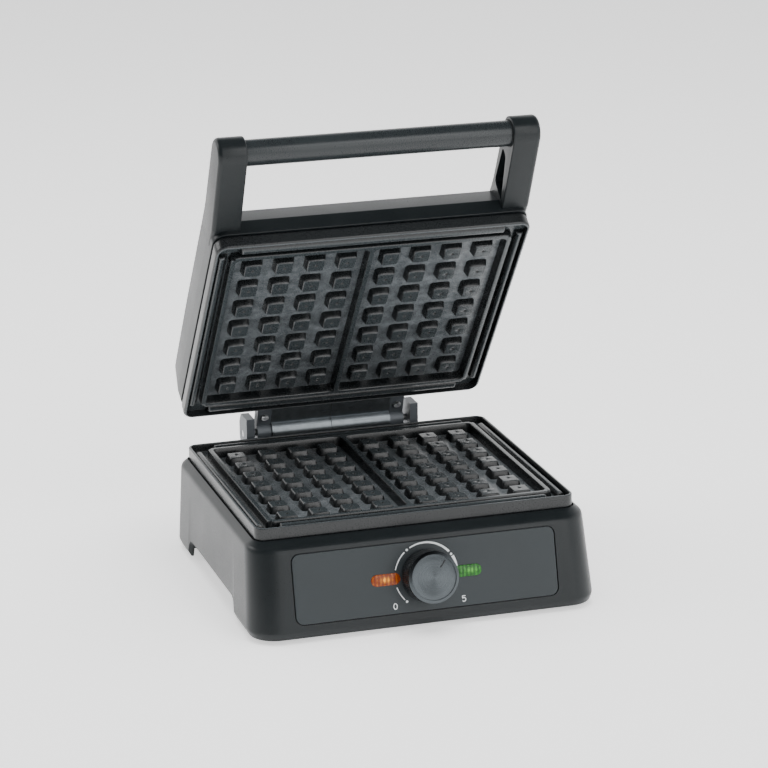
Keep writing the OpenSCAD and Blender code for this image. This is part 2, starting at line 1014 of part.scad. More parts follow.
module upper_element() {
    color("#7d7873")
    over_parting()
        heater_loop();
}

module upper_pan() {
    color("#aeb2b4")
    over_parting()
        heater_pan();
}

module upper_pan_screws() {
    color("#8d9296")
    over_parting()
        pan_screws();
}

// Lid-side hinge piece: a barrel on the pin and a web to the back of the lid frame.
module hinge_piece(x_low, x_high, barrel_r) {
    x_mid = (x_low + x_high) / 2;
    web_low = hinge_z - 1;
    difference() {
        union() {
            translate([x_low, hinge_y, hinge_z])
                rotate([0, 90, 0])
                    cylinder(r = barrel_r, h = x_high - x_low);
            translate([x_mid, 0, 0])
                along_x(x_high - x_low)
                    polygon([
                        [half_d, lid_face + 1.2], [half_d, part_z - 0.8],
                        [hinge_y - 1, hinge_z + barrel_r - 1.3],
                        [hinge_y - 1, web_low + 3], [hinge_y - 4.5, web_low]]);
        }
        translate([x_low - 1, hinge_y, hinge_z])
            rotate([0, 90, 0])
                cylinder(r = pin_r + run_clear, h = x_high - x_low + 2);
    }
}

module knuckle_left() {
    color("#6d7478")
    in_lid()
        hinge_piece(-knuckle_end, -0.2, knuckle_r);
}

module knuckle_right() {
    color("#6d7478")
    in_lid()
        hinge_piece(0.2, knuckle_end, knuckle_r);
}

// Clamp at the outer end of a knuckle, which takes the screw to the lid.
module clamp(x_low, x_high) {
    in_lid()
        difference() {
            hinge_piece(x_low, x_high, knuckle_r - 2);
            translate([(x_low + x_high) / 2, half_d + 6, lid_face - 20])
                cylinder(r = 1.7, h = 28, $fn = 24);
        }
}

module clamp_left() {
    color("#2b3033")
    clamp(-bracket_end, -knuckle_end - 0.2);
}

module clamp_right() {
    color("#2b3033")
    clamp(knuckle_end + 0.2, bracket_end);
}

module clamp_screws() {
    color("#b5b9bb")
    in_lid()
        for (sx = [-1, 1])
            translate([sx * (knuckle_end + bracket_end + 0.2) / 2, half_d + 6, lid_face - 1.4])
                screw(3, 1.8, 1.6, 9);
}

// ---------- handle ----------

// Side profile of a handle arm from its root in the lid to the bar.
module arm_profile() {
    r = arm_r - 0.12;
    lower = 13.4;
    upper = atan((bar_z + arm_r - shell_top) / (bar_reach - 2.4));
    polygon([
        [bar_y - r * sin(lower), bar_z - r * cos(lower)],
        [-(half_d + 1.9), arm_foot_z],
        [arm_root_y, arm_foot_z],
        [arm_root_y, shell_top - 0.3],
        [-(half_d + 2.4), shell_top + 0.1],
        [bar_y + r * sin(upper), bar_z + r * cos(upper)]]);
    translate([bar_y, bar_z])
        circle(r = arm_r);
}

module handle_arm(sx) {
    pocket_r = 3;
    in_lid()
        difference() {
            translate([sx * (arm_in + arm_out) / 2, 0, 0])
                along_x(arm_width)
                    arm_profile();
            // pocket in the inner side
            translate([sx * (arm_in + 3.5), 0, 0])
                along_x(9)
                    polygon([
                        [bar_y + arm_r + 3, bar_z - 5], [-(half_d + 4), arm_foot_z + 4.5],
                        [-(half_d + 4), shell_top - 4], [bar_y + arm_r + 3, shell_top + 0.5]]);
            // seat of the bar
            translate([sx * (arm_in + bar_depth) - (sx > 0 ? bar_depth + 1 : 0), bar_y, bar_z])
                rotate([0, 90, 0])
                    cylinder(r = bar_r, h = bar_depth + 1);
            at_handle_screws()
                cylinder(r = 1.5, h = 12, $fn = 24);
        }
}

module handle_arm_left() {
    color("#3a4145")
    handle_arm(-1);
}

module handle_arm_right() {
    color("#3a4145")
    handle_arm(1);
}

module handle_bar() {
    reach = arm_in + bar_depth - 0.2;
    color("#444c50")
    in_lid()
        translate([-reach, bar_y, bar_z])
            rotate([0, 90, 0])
                difference() {
                    cylinder(r = bar_r - 0.02, h = 2 * reach);
                    translate([0, 0, -1])
                        cylinder(r = bar_r - 1.8, h = 2 * reach + 2);
                }
}

module bar_plugs() {
    reach = arm_in + bar_depth - 0.2;
    color("#2b3033")
    in_lid()
        for (sx = [-1, 1])
            translate([sx * (reach - 8), bar_y, bar_z])
                rotate([0, 90, 0])
                    cylinder(r = bar_r - 1.82, h = 16, center = true);
}

module handle_screws() {
    color("#8d9296")
    in_lid()
        at_handle_screws()
            screw(2.8, 1.6, 1.4, 10);
}

placed() base_housing();
placed() bottom_cover();
placed() feet();
placed() cover_screws();
placed() front_panel();
placed() amber_window();
placed() green_window();
placed() amber_lamp();
placed() green_lamp();
placed() lamp_holders();
placed() thermostat_body();
placed() thermostat_bracket();
placed() thermostat_nut();
placed() knob_spindle();
placed() knob_body();
placed() knob_cap();
placed() lower_frame();
placed() lower_frame_screws();
placed() lower_plate();
placed() lower_element();
placed() lower_pan();
placed() lower_pan_screws();
placed() cord_gland();
placed() terminal_block();
placed() hinge_bracket();
placed() bracket_screws();
placed() hinge_pin();
placed() lid_shell();
placed() upper_frame();
placed() upper_frame_screws();
placed() upper_plate();
placed() upper_element();
placed() upper_pan();
placed() upper_pan_screws();
placed() knuckle_left();
placed() knuckle_right();
placed() clamp_left();
placed() clamp_right();
placed() clamp_screws();
placed() handle_arm_left();
placed() handle_arm_right();
placed() handle_bar();
placed() bar_plugs();
placed() handle_screws();
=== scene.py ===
"""Looks of a table waffle maker, built round its packed mechanical frame.

Lengths inside the classes are in millimetres about the middle of the lower plate, with the lid
drawn shut. Space turns them into metres in the shared frame.
"""

import json
import logging
import math
from dataclasses import dataclass, replace
from enum import Enum
from typing import Callable, Optional, Sequence

import bmesh
import bpy
import numpy as np
from mathutils import Matrix, Vector


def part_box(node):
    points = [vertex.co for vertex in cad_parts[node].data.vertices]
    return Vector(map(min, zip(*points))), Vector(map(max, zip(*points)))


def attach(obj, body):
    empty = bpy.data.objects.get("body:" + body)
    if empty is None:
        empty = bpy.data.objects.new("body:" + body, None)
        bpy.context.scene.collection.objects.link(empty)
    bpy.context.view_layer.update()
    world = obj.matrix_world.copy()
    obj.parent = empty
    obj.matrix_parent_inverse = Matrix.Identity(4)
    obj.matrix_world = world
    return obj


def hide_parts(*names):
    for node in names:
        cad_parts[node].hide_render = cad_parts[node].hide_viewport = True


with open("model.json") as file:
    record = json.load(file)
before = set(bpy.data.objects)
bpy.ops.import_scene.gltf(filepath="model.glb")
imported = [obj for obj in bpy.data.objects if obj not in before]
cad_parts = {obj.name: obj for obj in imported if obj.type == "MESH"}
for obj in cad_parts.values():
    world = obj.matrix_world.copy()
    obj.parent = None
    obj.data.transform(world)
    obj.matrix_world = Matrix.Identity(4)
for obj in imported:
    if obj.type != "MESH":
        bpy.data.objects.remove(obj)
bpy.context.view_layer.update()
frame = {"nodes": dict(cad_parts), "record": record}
LOG = logging.getLogger("waffle_maker")
MM = 0.001
Array = np.ndarray
Colour = tuple[float, float, float]
Value = float | tuple | bpy.types.NodeSocket
MOTTLE_PER_M = 22.0
PATCH_PER_M = 160.0
SPECK_SHARE = 0.03
# share of a finish's colour that its walls keep under the painted wall shade
WALL_PAINTED_SHADE = 0.2
BEND = 4


# ---------- surfaces ----------


@dataclass
class Skin:
    """Points and faces of one closed surface, in millimetres."""

    points: Array
    faces: list[list[int]]

    @staticmethod
    def joined(parts: Sequence["Skin"]) -> "Skin":
        """Several skins as one, with the faces' numbers moved on.

        Args:
            parts: The skins to join.

        Returns:
            One skin that holds them all.
        """
        starts = np.cumsum([0] + [len(p.points) for p in parts])
        faces = [[i + int(s) for i in f] for p, s in zip(parts, starts) for f in p.faces]
        return Skin(np.concatenate([p.points for p in parts]), faces)


def mirrored_x(skin: Skin) -> Skin:
    """The skin on the other side of the plane x = 0, with its faces turned to point outward."""
    return Skin(skin.points * np.array([-1.0, 1.0, 1.0]), [f[::-1] for f in skin.faces])


def loft(loops: Array, around: bool = False, caps: bool = True) -> Skin:
    """Quads between neighbouring loops: corner (i, j) joins (i, j+1), (i+1, j+1) and (i+1, j).

    Args:
        loops: Points of k closed loops of n points each, shape (k, n, 3).
        around: Whether the last loop joins the first, as on a ring.
        caps: Whether the first and last loops are closed with one face each.

    Returns:
        The lofted skin.
    """
    k, n, _ = loops.shape
    index = np.arange(k * n).reshape(k, n)
    low = index if around else index[:-1]
    high = np.roll(index, -1, axis=0) if around else index[1:]
    quads = np.stack([low, np.roll(low, -1, 1), np.roll(high, -1, 1), high], axis=-1)
    faces = quads.reshape(-1, 4).tolist()
    if caps and not around:
        faces += [index[0, ::-1].tolist(), index[-1].tolist()]
    return Skin(loops.reshape(-1, 3), faces)


def rounded_loops(half_x: Array, y_low: Array, y_high: Array, radius: Array, arc: int, run: int) -> Array:
    """Rounded rectangles, one per entry: a corner's centre plus radius times (cos a, sin a), and
    evenly spaced points along each straight side between two corners.

    Args:
        half_x: Half widths, shape (k,).
        y_low: Front edges, shape (k,).
        y_high: Back edges, shape (k,).
        radius: Corner radii, shape (k,).
        arc: Steps in each corner.
        run: Steps along each straight side.

    Returns:
        Points of the loops, anticlockwise from the front left corner, shape (k, n, 2).
    """
    half_x, y_low, y_high, radius = (np.asarray(v, float)[:, None] for v in (half_x, y_low, y_high, radius))
    turn = np.linspace(0, math.pi / 2, arc + 1)[None, :]
    corners = []
    for side, back, start in ((-1, 0, math.pi), (1, 0, 1.5 * math.pi), (1, 1, 0.0), (-1, 1, 0.5 * math.pi)):
        centre_y = y_high - radius if back else y_low + radius
        corners.append(np.stack([side * (half_x - radius) + radius * np.cos(start + turn),
                                 centre_y + radius * np.sin(start + turn)], axis=-1))
    share = (np.arange(1, run) / run)[None, :, None]
    rows = []
    for here, there in zip(corners, corners[1:] + corners[:1]):
        rows += [here, here[:, -1:] * (1 - share) + there[:, :1] * share]
    return np.concatenate(rows, axis=1)


def softened(knots: Array, reach: Array, steps: int, closed: bool) -> Array:
    """Bends at every knot of a path: (1-s)^2 a + 2 s (1-s) knot + s^2 b, with a and b on the two
    legs at the given reach.

    Args:
        knots: Rows of values; the last one is a height and the others are widths.
        reach: Length of the bend on each leg, per knot.
        steps: Steps in each bend.
        closed: Whether the path returns to its start.

    Returns:
        Rows along the softened path, steps + 1 for every knot.
    """
    before, after = np.roll(knots, 1, 0), np.roll(knots, -1, 0)
    if not closed:
        before[0], after[-1] = knots[0], knots[-1]

    def part(other: Array) -> Array:
        """Share of a leg that the bend takes."""
        delta = np.abs(other - knots)
        length = np.hypot(delta[:, :-1].max(axis=1), delta[:, -1])
        return np.minimum(reach / np.maximum(length, 1e-9), 0.48)[:, None]

    first = (knots + part(before) * (before - knots))[:, None]
    last = (knots + part(after) * (after - knots))[:, None]
    s = np.linspace(0, 1, steps + 1)[None, :, None]
    path = (1 - s) ** 2 * first + 2 * s * (1 - s) * knots[:, None] + s**2 * last
    return path.reshape(-1, knots.shape[1])


def ring_loops(rows: Array, arc: int = 8, run: int = 1) -> Array:
    """Loops of rows (half width, front, back, corner radius, height), shape (k, n, 3)."""
    flat = rounded_loops(rows[:, 0], rows[:, 1], rows[:, 2], rows[:, 3], arc, run)
    height = np.broadcast_to(rows[:, 4][:, None, None], flat.shape[:2] + (1,))
    return np.concatenate([flat, height], axis=-1)


def lathe(radius: Array, along: Array, steps: int, ripple: Optional[Array] = None) -> Array:
    """Loops of a turned shape: (r cos a, r sin a, h), with an optional ripple added to r.

    Args:
        radius: Radii along the profile, shape (k,).
        along: Heights along the profile, shape (k,).
        steps: Points round the axis.
        ripple: Depth of the ribs per profile point and angle, shape (k, steps).

    Returns:
        Loops about the z axis, shape (k, steps, 3).
    """
    angle = np.arange(steps) * 2 * math.pi / steps
    r = radius[:, None] + (0 if ripple is None else ripple)
    return np.stack([r * np.cos(angle), r * np.sin(angle),
                     np.broadcast_to(along[:, None], (len(radius), steps))], axis=-1)


def round_polygon(corners: Array, radius: Array, steps: int) -> Array:
    """Closed outline with every corner replaced by a bend of the given reach.

    Args:
        corners: Corner points, shape (m, 2).
        radius: Reach of the bend on each side of the corner, shape (m,).
        steps: Steps in each bend.

    Returns:
        The outline's points, shape (m * (steps + 1), 2).
    """
    return softened(np.asarray(corners, float), np.asarray(radius, float), steps, True)


def offset_inward(outline: Array, distance: float) -> Array:
    """An anticlockwise outline moved inward along the mean normal of its two edges at each point."""
    edge = np.roll(outline, -1, 0) - outline
    length = np.maximum(np.hypot(edge[:, 0], edge[:, 1]), 1e-9)[:, None]
    normal = np.stack([-edge[:, 1], edge[:, 0]], -1) / length
    mean = normal + np.roll(normal, 1, 0)
    mean /= np.maximum((mean**2).sum(-1, keepdims=True), 0.5) / 2
    return outline + distance * mean


def slab(outline: Array, x_in: float, x_out: float, soft_in: float, soft_out: float, steps: int = 6) -> Array:
    """Loops of an outline in y and z carried along x, its two rims rounded by quarter circles:
    inset e (1 - sin a) at a distance e (1 - cos a) from the face.

    Args:
        outline: Anticlockwise outline, shape (n, 2).
        x_in: Place of the first face.
        x_out: Place of the second face.
        soft_in: Radius of the first rim.
        soft_out: Radius of the second rim.
        steps: Steps in each rim.

    Returns:
        Loops, shape (k, n, 3).
    """
    turn = np.linspace(0, math.pi / 2, steps + 1)
    way = math.copysign(1.0, x_out - x_in)
    inset = np.concatenate([soft_in * (1 - np.sin(turn)), soft_out * (1 - np.sin(turn))[::-1]])
    place = np.concatenate([x_in + way * soft_in * (1 - np.cos(turn)),
                            x_out - way * soft_out * (1 - np.cos(turn))[::-1]])
    rows = []
    for depth, x in zip(inset.tolist(), place.tolist()):
        flat = offset_inward(outline, depth)
        rows.append(np.concatenate([np.full((len(flat), 1), x), flat], axis=1))
    return np.stack(rows)


def strip(path: Array, half_width: Array, low: float, high: float) -> Skin:
    """A flat line with thickness: the path plus and minus its normal times half the width, at two
    heights, lofted from end to end.

    Args:
        path: Points along the middle, shape (n, 2).
        half_width: Half widths along the path, shape (n,).
        low: Height of the underside.
        high: Height of the top.

    Returns:
        The closed strip.
    """
    way = np.gradient(path, axis=0)
    way /= np.hypot(way[:, 0], way[:, 1])[:, None]
    side = np.stack([-way[:, 1], way[:, 0]], -1) * half_width[:, None]
    left, right = path + side, path - side
    corners = ((left, low), (right, low), (right, high), (left, high))
    rows = [np.concatenate([line, np.full((len(path), 1), height)], 1) for line, height in corners]
    return loft(np.stack(rows, axis=1))


# ---------- places ----------


class Space:
    """Turns millimetres about the plate's middle into metres in the shared frame."""

    def __init__(self) -> None:
        """Reads the plate's middle, the hinge and the knob's axis from the frame."""
        low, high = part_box("lower_plate")
        self.shift = Vector((0.0, (low.y + high.y) / 2, 0.0))
        joints = {j["name"]: j for j in frame["record"]["behaviour"]["joints"]}
        self.hinge = np.array(joints["lid_hinge"]["pos_m"]) / MM - np.array(self.shift) / MM
        self.opening = -math.radians(joints["lid_hinge"]["range_deg"][0])
        knob = joints["knob_turn"]
        self.panel_mid = np.array(knob["pos_m"]) / MM - np.array(self.shift) / MM
        self.outward = -np.array(knob["axis"])
        self.upslope = np.cross(self.outward, [1.0, 0.0, 0.0])

    def base(self, points: Array) -> Array:
        """Points of the base, moved to the shared frame."""
        return (points + np.array(self.shift) / MM) * MM

    def lid(self, points: Array) -> Array:
        """Points of the shut lid, turned about the hinge to the opening angle."""
        rel = points - self.hinge
        c, s = math.cos(self.opening), math.sin(self.opening)
        turned = np.stack([rel[:, 0], rel[:, 1] * c + rel[:, 2] * s, rel[:, 2] * c - rel[:, 1] * s], -1)
        return self.base(turned + self.hinge)

    def panel(self, points: Array) -> Array:
        """Points given as across, up the slope and outward from the control panel's middle."""
        across = np.array([1.0, 0.0, 0.0])
        return self.base(self.panel_mid + points[:, :1] * across + points[:, 1:2] * self.upslope
                         + points[:, 2:] * self.outward)


# ---------- finishes ----------


class Texture(Enum):
    """How a finish's fine relief runs."""

    GRAIN = "grain"
    BRUSHED = "brushed"
    SPUN = "spun"
    CAST = "cast"


@dataclass(frozen=True)
class Wiring:
    """Makes and joins the nodes of one tree."""

    tree: bpy.types.NodeTree

    def node(self, kind: str, inputs: dict, operation: str = "") -> bpy.types.Node:
        """Makes a node and sets or links its inputs.

        Args:
            kind: The node's type, without its ShaderNode prefix.
            inputs: Values or other nodes' sockets, by input name or number.
            operation: What a math node does.

        Returns:
            The node.
        """
        made = self.tree.nodes.new("ShaderNode" + kind)
        if operation:
            made.operation = operation
        for key, value in inputs.items():
            if isinstance(value, bpy.types.NodeSocket):
                self.tree.links.new(value, made.inputs[key])
            else:
                made.inputs[key].default_value = value
        return made

    def number(self, operation: str, first: Value, second: Value) -> bpy.types.NodeSocket:
        """The result of a sum on two values."""
        return self.node("Math", {0: first, 1: second}, operation).outputs[0]

    def vector(self, operation: str, first: Value, second: Value = (0.0, 0.0, 0.0)) -> bpy.types.Node:
        """The node that does a sum on two vectors."""
        return self.node("VectorMath", {0: first, 1: second}, operation)

    def noise(self, coord: bpy.types.NodeSocket, scale: float, detail: float,
              rough: float) -> bpy.types.NodeSocket:
        """A noise value at a scale in repeats per metre."""
        settings = {"Scale": scale, "Detail": detail, "Roughness": rough, "Vector": coord}
        return self.node("TexNoise", settings).outputs["Fac"]

    def spread(self, value: bpy.types.NodeSocket, low: float, high: float, to_low: float = 0.0,
               to_high: float = 1.0) -> bpy.types.NodeSocket:
        """The value moved from one range to another and held inside it."""
        settings = {"Value": value, "From Min": low, "From Max": high, "To Min": to_low, "To Max": to_high}
        return self.node("MapRange", settings).outputs[0]

    def blend(self, share: bpy.types.NodeSocket, first: Value, second: Value) -> bpy.types.NodeSocket:
        """Two colours, or colour sockets, mixed by a share."""
        node = self.tree.nodes.new("ShaderNodeMix")
        node.data_type = "RGBA"
        self.tree.links.new(share, node.inputs["Factor"])
        for socket, value in ((node.inputs[6], first), (node.inputs[7], second)):
            if isinstance(value, tuple):
                socket.default_value = (*value, 1.0)
            else:
                self.tree.links.new(value, socket)
        return node.outputs[2]


def blank_material(name: str) -> tuple[bpy.types.Material, Wiring]:
    """A new material with an empty tree.

    Args:
        name: Name of the material.

    Returns:
        The material and the wiring of its tree.
    """
    made = bpy.data.materials.new(name)
    made.use_nodes = True
    made.node_tree.nodes.clear()
    return made, Wiring(made.node_tree)


@dataclass(frozen=True)
class Finish:
    """A finish of one surface, with its own colour variation, grain and relief; lighter outward edges that
    are edge wear and, on the casting, a painted highlight; and painted shade on walls where asked.
    """

    name: str
    colour: Colour
    tint: Colour
    rough: float
    rough_spread: float = 0.08
    grain: float = 0.7
    relief: float = 0.02
    edge_wear_and_highlight: float = 0.3
    wear_and_highlight_colour: Colour = (0.09, 0.1, 0.108)
    metallic: float = 0.0
    specular: float = 0.36
    texture: Texture = Texture.GRAIN
    anisotropy: float = 0.0
    centre: Colour = (0.0, 0.0, 0.0)
    tilt: float = 0.0
    axis: Colour = (0.0, 0.0, 1.0)
    painted_wall_shade: float = 0.0

    def material(self) -> bpy.types.Material:
        """Builds the node material.

        Returns:
            The material, made once per finish.
        """
        known = bpy.data.materials.get(self.name)
        if known:
            return known
        made, wires = blank_material(self.name)
        coord = wires.node("TexCoord", {}).outputs["Object"]
        mottle = wires.noise(coord, MOTTLE_PER_M, 3.0, 0.55)
        fine = self._fine(wires, coord)
        colour = wires.blend(wires.spread(mottle, 0.35, 0.65), self.colour, self.tint)
        colour = wires.blend(wires.spread(fine, 0.3, 0.8, 0.0, SPECK_SHARE), colour, self.wear_and_highlight_colour)
        # painted shade: surfaces leaning away from the axis, such as peg and rim walls, are darkened as if
        # unlit
        if self.painted_wall_shade:
            painted_shade_colour = tuple(WALL_PAINTED_SHADE * part for part in self.colour)
            colour = wires.blend(self._painted_wall_shade_mask(wires), colour, painted_shade_colour)
        # outward edges take the lighter colour: edge wear, and on the casting a painted highlight
        colour = wires.blend(self._edge_wear_and_highlight(wires, coord), colour, self.wear_and_highlight_colour)
        even = wires.spread(fine, 0.2, 0.8, self.rough - self.rough_spread, self.rough + self.rough_spread)
        rough = wires.number("ADD", even, wires.spread(mottle, 0.3, 0.7, -0.03, 0.03))
        bump = wires.node("Bump", {"Strength": 0.6, "Distance": self.relief * MM, "Height": fine})
        inputs = {"Base Color": colour, "Roughness": rough, "Normal": bump.outputs[0],
                  "Metallic": self.metallic, "Specular IOR Level": self.specular}
        if self.anisotropy:
            inputs |= {"Anisotropic": self.anisotropy, "Tangent": self._round_about(wires, coord)}
        shader = wires.node("BsdfPrincipled", inputs)
        wires.node("OutputMaterial", {0: shader.outputs[0]})
        return made

    def _painted_wall_shade_mask(self, wires: Wiring) -> bpy.types.NodeSocket:
        """Painted shade on walls: how far the surface leans from facing along the axis, as the share of the
        darker painted-shade colour.
        """
        normal = wires.node("TexCoord", {}).outputs["Normal"]
        facing = wires.vector("DOT_PRODUCT", normal, self.axis).outputs["Value"]
        size = wires.node("Math", {0: facing}, "ABSOLUTE").outputs[0]
        return wires.spread(size, 0.72, 0.97, self.painted_wall_shade, 0.0)

    def _round_about(self, wires: Wiring, coord: bpy.types.NodeSocket) -> bpy.types.NodeSocket:
        """The direction of turning marks: square to the axis and to the way out from it."""
        away = wires.vector("SUBTRACT", coord, self.centre).outputs[0]
        across = wires.vector("CROSS_PRODUCT", self.axis, away).outputs[0]
        moved = wires.node("VectorTransform", {0: across})
        moved.vector_type = "VECTOR"
        moved.convert_from = "OBJECT"
        moved.convert_to = "WORLD"
        return moved.outputs[0]

    def _fine(self, wires: Wiring, coord: bpy.types.NodeSocket) -> bpy.types.NodeSocket:
        """The fine relief: even grain, long brush lines, turned rings or a coarser cast skin."""
        scale = 1.0 / (self.grain * MM)
        if self.texture is Texture.GRAIN:
            return wires.noise(coord, scale, 2.0, 0.6)
        if self.texture is Texture.CAST:
            return wires.noise(coord, scale, 4.0, 0.7)
        settings = {"Vector": coord, "Location": self.centre, "Rotation": (self.tilt, 0.0, 0.0)}
        mapping = wires.node("Mapping", settings)
        mapping.vector_type = "TEXTURE"
        if self.texture is Texture.BRUSHED:
            return wires.noise(wires.vector("MULTIPLY", mapping.outputs[0], (0.03, 1.0, 1.0)).outputs[0],
                               scale, 2.0, 0.6)
        apart = wires.vector("MULTIPLY", mapping.outputs[0], (1.0, 1.0, 0.0)).outputs[0]
        gather = wires.node("CombineXYZ", {0: wires.vector("LENGTH", apart).outputs["Value"]})
        return wires.noise(gather.outputs[0], scale, 3.0, 0.7)

    def _edge_wear_and_highlight(self, wires: Wiring, coord: bpy.types.NodeSocket) -> bpy.types.NodeSocket:
        """Lighter colour on outward edges, broken up by a patchy noise: edge wear, and on the casting a
        painted highlight along the peg rims.
        """
        sharp = wires.spread(wires.node("NewGeometry", {}).outputs["Pointiness"], 0.53, 0.64)
        patch = wires.spread(wires.noise(coord, PATCH_PER_M, 3.0, 0.6), 0.35, 0.7, 0.35, 1.0)
        return wires.number("MULTIPLY", wires.number("MULTIPLY", sharp, patch), self.edge_wear_and_highlight)


@dataclass(frozen=True)
class LensFinish:
    """Clear coloured moulding lit from behind, with bright and dark bands along its length."""

    name: str
    colour: Colour
    deep: Colour
    glow: Colour
    strength: float
    centre: Colour

    def material(self) -> bpy.types.Material:
        """Builds the glowing lens material.

        Returns:
            The material, made once.
        """
        made, wires = blank_material(self.name)
        coord = wires.node("TexCoord", {}).outputs["Object"]
        facets = wires.node("TexVoronoi", {"Scale": 420.0, "Vector": coord}).outputs["Distance"]
        bars = wires.node("TexWave", {"Scale": 105.0, "Distortion": 1.2, "Vector": coord}).outputs["Fac"]
        cells = wires.spread(wires.number("ADD", facets, bars), 0.3, 1.3)
        centred = wires.vector("SUBTRACT", coord, self.centre).outputs[0]
        squashed = wires.vector("MULTIPLY", centred, (1.0, 1.6, 1.9)).outputs[0]
        length = wires.vector("LENGTH", squashed).outputs["Value"]
        near = wires.spread(length, 0.0015, 0.0062, 1.0, 0.0)
        power = wires.spread(near, 0.0, 1.0, self.strength * 0.2, self.strength)
        bump = wires.node("Bump", {"Strength": 0.7, "Distance": 0.1 * MM, "Height": facets})
        shader = wires.node("BsdfPrincipled", {
            "Base Color": wires.blend(cells, self.colour, self.deep),
            "Emission Color": wires.blend(near, self.deep, self.glow),
            "Emission Strength": wires.number("MULTIPLY", power, wires.spread(cells, 0.0, 1.0, 1.0, 0.25)),
            "Roughness": wires.spread(cells, 0.0, 1.0, 0.08, 0.28),
            "Normal": bump.outputs[0], "Specular IOR Level": 0.3})
        wires.node("OutputMaterial", {0: shader.outputs[0]})
        return made


HOUSING = Finish("satin_housing", (0.0065, 0.0088, 0.0098), (0.0082, 0.0108, 0.012), 0.34, grain=0.8,
                 relief=0.010, specular=0.30, edge_wear_and_highlight=0.35)
# frame finish: its walls take painted shade, its outward edges a lighter colour
EDGED = Finish("edged_frame", (0.062, 0.071, 0.076), (0.072, 0.082, 0.088), 0.30, grain=0.9, relief=0.010,
               edge_wear_and_highlight=0.6, wear_and_highlight_colour=(0.16, 0.18, 0.19), specular=0.45, painted_wall_shade=1.0)
# casting finish: its walls take painted shade and its peg rims a painted highlight
CASTING = Finish("coated_casting", (0.027, 0.033, 0.036), (0.031, 0.038, 0.041), 0.28, grain=0.9,
                 relief=0.006, edge_wear_and_highlight=1.0, wear_and_highlight_colour=(0.24, 0.26, 0.275), specular=0.5,
                 texture=Texture.CAST, painted_wall_shade=0.95)
PANEL = Finish("satin_panel", (0.022, 0.0275, 0.030), (0.024, 0.030, 0.033), 0.42, grain=0.5, relief=0.003,
               edge_wear_and_highlight=0.1, specular=0.32)
KNOB = Finish("ribbed_knob", (0.008, 0.009, 0.010), (0.010, 0.012, 0.013), 0.38, grain=0.6, relief=0.015,
              specular=0.25)
BAR = Finish("coated_tube", (0.013, 0.0165, 0.018), (0.016, 0.02, 0.022), 0.30, grain=0.6, relief=0.008,
             edge_wear_and_highlight=0.3, specular=0.42)
# dark finish for the knob's pointer line and for the painted shadow rings at the bar's ends
POINTER_INK_AND_PAINTED_SHADOW = Finish("pointer_ink_and_painted_shadow", (0.008, 0.009, 0.01), (0.01, 0.012, 0.013), 0.6, edge_wear_and_highlight=0.0)
RUBBER = Finish("soft_rubber", (0.012, 0.012, 0.013), (0.018, 0.018, 0.019), 0.7, grain=0.5, relief=0.03,
                edge_wear_and_highlight=0.2)
HINGE = Finish("hinge_steel", (0.018, 0.022, 0.024), (0.025, 0.03, 0.032), 0.34, grain=0.8, relief=0.02,
               edge_wear_and_highlight=0.8)
BARREL = Finish("satin_barrel", (0.20, 0.22, 0.235), (0.26, 0.285, 0.30), 0.34, grain=0.7, relief=0.02,
                metallic=0.85, edge_wear_and_highlight=0.5, texture=Texture.BRUSHED)
STEEL = Finish("plated_steel", (0.42, 0.43, 0.44), (0.5, 0.51, 0.52), 0.32, metallic=1.0, grain=0.5,
               relief=0.01, wear_and_highlight_colour=(0.7, 0.7, 0.7))
STAINED = Finish("heat_stained_steel", (0.2, 0.17, 0.15), (0.3, 0.27, 0.24), 0.45, metallic=0.9, grain=0.8)
CERAMIC = Finish("pale_ceramic", (0.62, 0.58, 0.5), (0.7, 0.66, 0.58), 0.6, grain=0.9, relief=0.02,
                 wear_and_highlight_colour=(0.75, 0.72, 0.66))
INK = Finish("printed_marks", (0.72, 0.75, 0.76), (0.8, 0.82, 0.83), 0.5, grain=0.4, relief=0.003, edge_wear_and_highlight=0.0,
             wear_and_highlight_colour=(0.6, 0.62, 0.63))
SPUN_FACE = Finish("spun_face", (0.06, 0.068, 0.073), (0.075, 0.084, 0.09), 0.26, metallic=1.0, grain=0.9,
                   relief=0.05, texture=Texture.SPUN, edge_wear_and_highlight=0.3, anisotropy=0.85)
UNDERSIDE = Finish("matte_cover", (0.02, 0.022, 0.024), (0.028, 0.03, 0.032), 0.6, grain=1.2, relief=0.04)


# ---------- pieces ----------


@dataclass
class Fitting:
    """Puts a skin into the scene as one finished piece."""

    space: Space

    def add(self, name: str, skin: Skin, place: Callable[[Array], Array], body: str, finish: object,
            slot: str, stands_for: Sequence[str] = (), sharp: float = 32.0) -> bpy.types.Object:
        """Makes the mesh object, merges its seams, shades it and ties it to a body.

        Args:
            name: Name of the piece.
            skin: Its surface in millimetres.
            place: The Space method that puts it in the shared frame.
            body: The body that it rides on.
            finish: Its finish.
            slot: The record's material slot; not used.
            stands_for: CAD nodes that it replaces.
            sharp: Angle in degrees above which an edge stays sharp.

        Returns:
            The new object.
        """
        mesh = bpy.data.meshes.new(name)
        mesh.from_pydata(place(skin.points).tolist(), [], skin.faces)
        work = bmesh.new()
        work.from_mesh(mesh)
        bmesh.ops.remove_doubles(work, verts=work.verts, dist=4e-6)
        bmesh.ops.dissolve_degenerate(work, edges=work.edges, dist=2e-6)
        bmesh.ops.recalc_face_normals(work, faces=work.faces)
        work.to_mesh(mesh)
        work.free()
        mesh.polygons.foreach_set("use_smooth", np.ones(len(mesh.polygons), bool))
        mesh.set_sharp_from_angle(angle=math.radians(sharp))
        mesh.materials.append(finish.material())
        made = bpy.data.objects.new(name, mesh)
        bpy.context.scene.collection.objects.link(made)
        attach(made, body)
        if stands_for:
            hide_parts(*stands_for)
        LOG.info("piece %s: %d faces on %s", name, len(mesh.polygons), body)
        return made


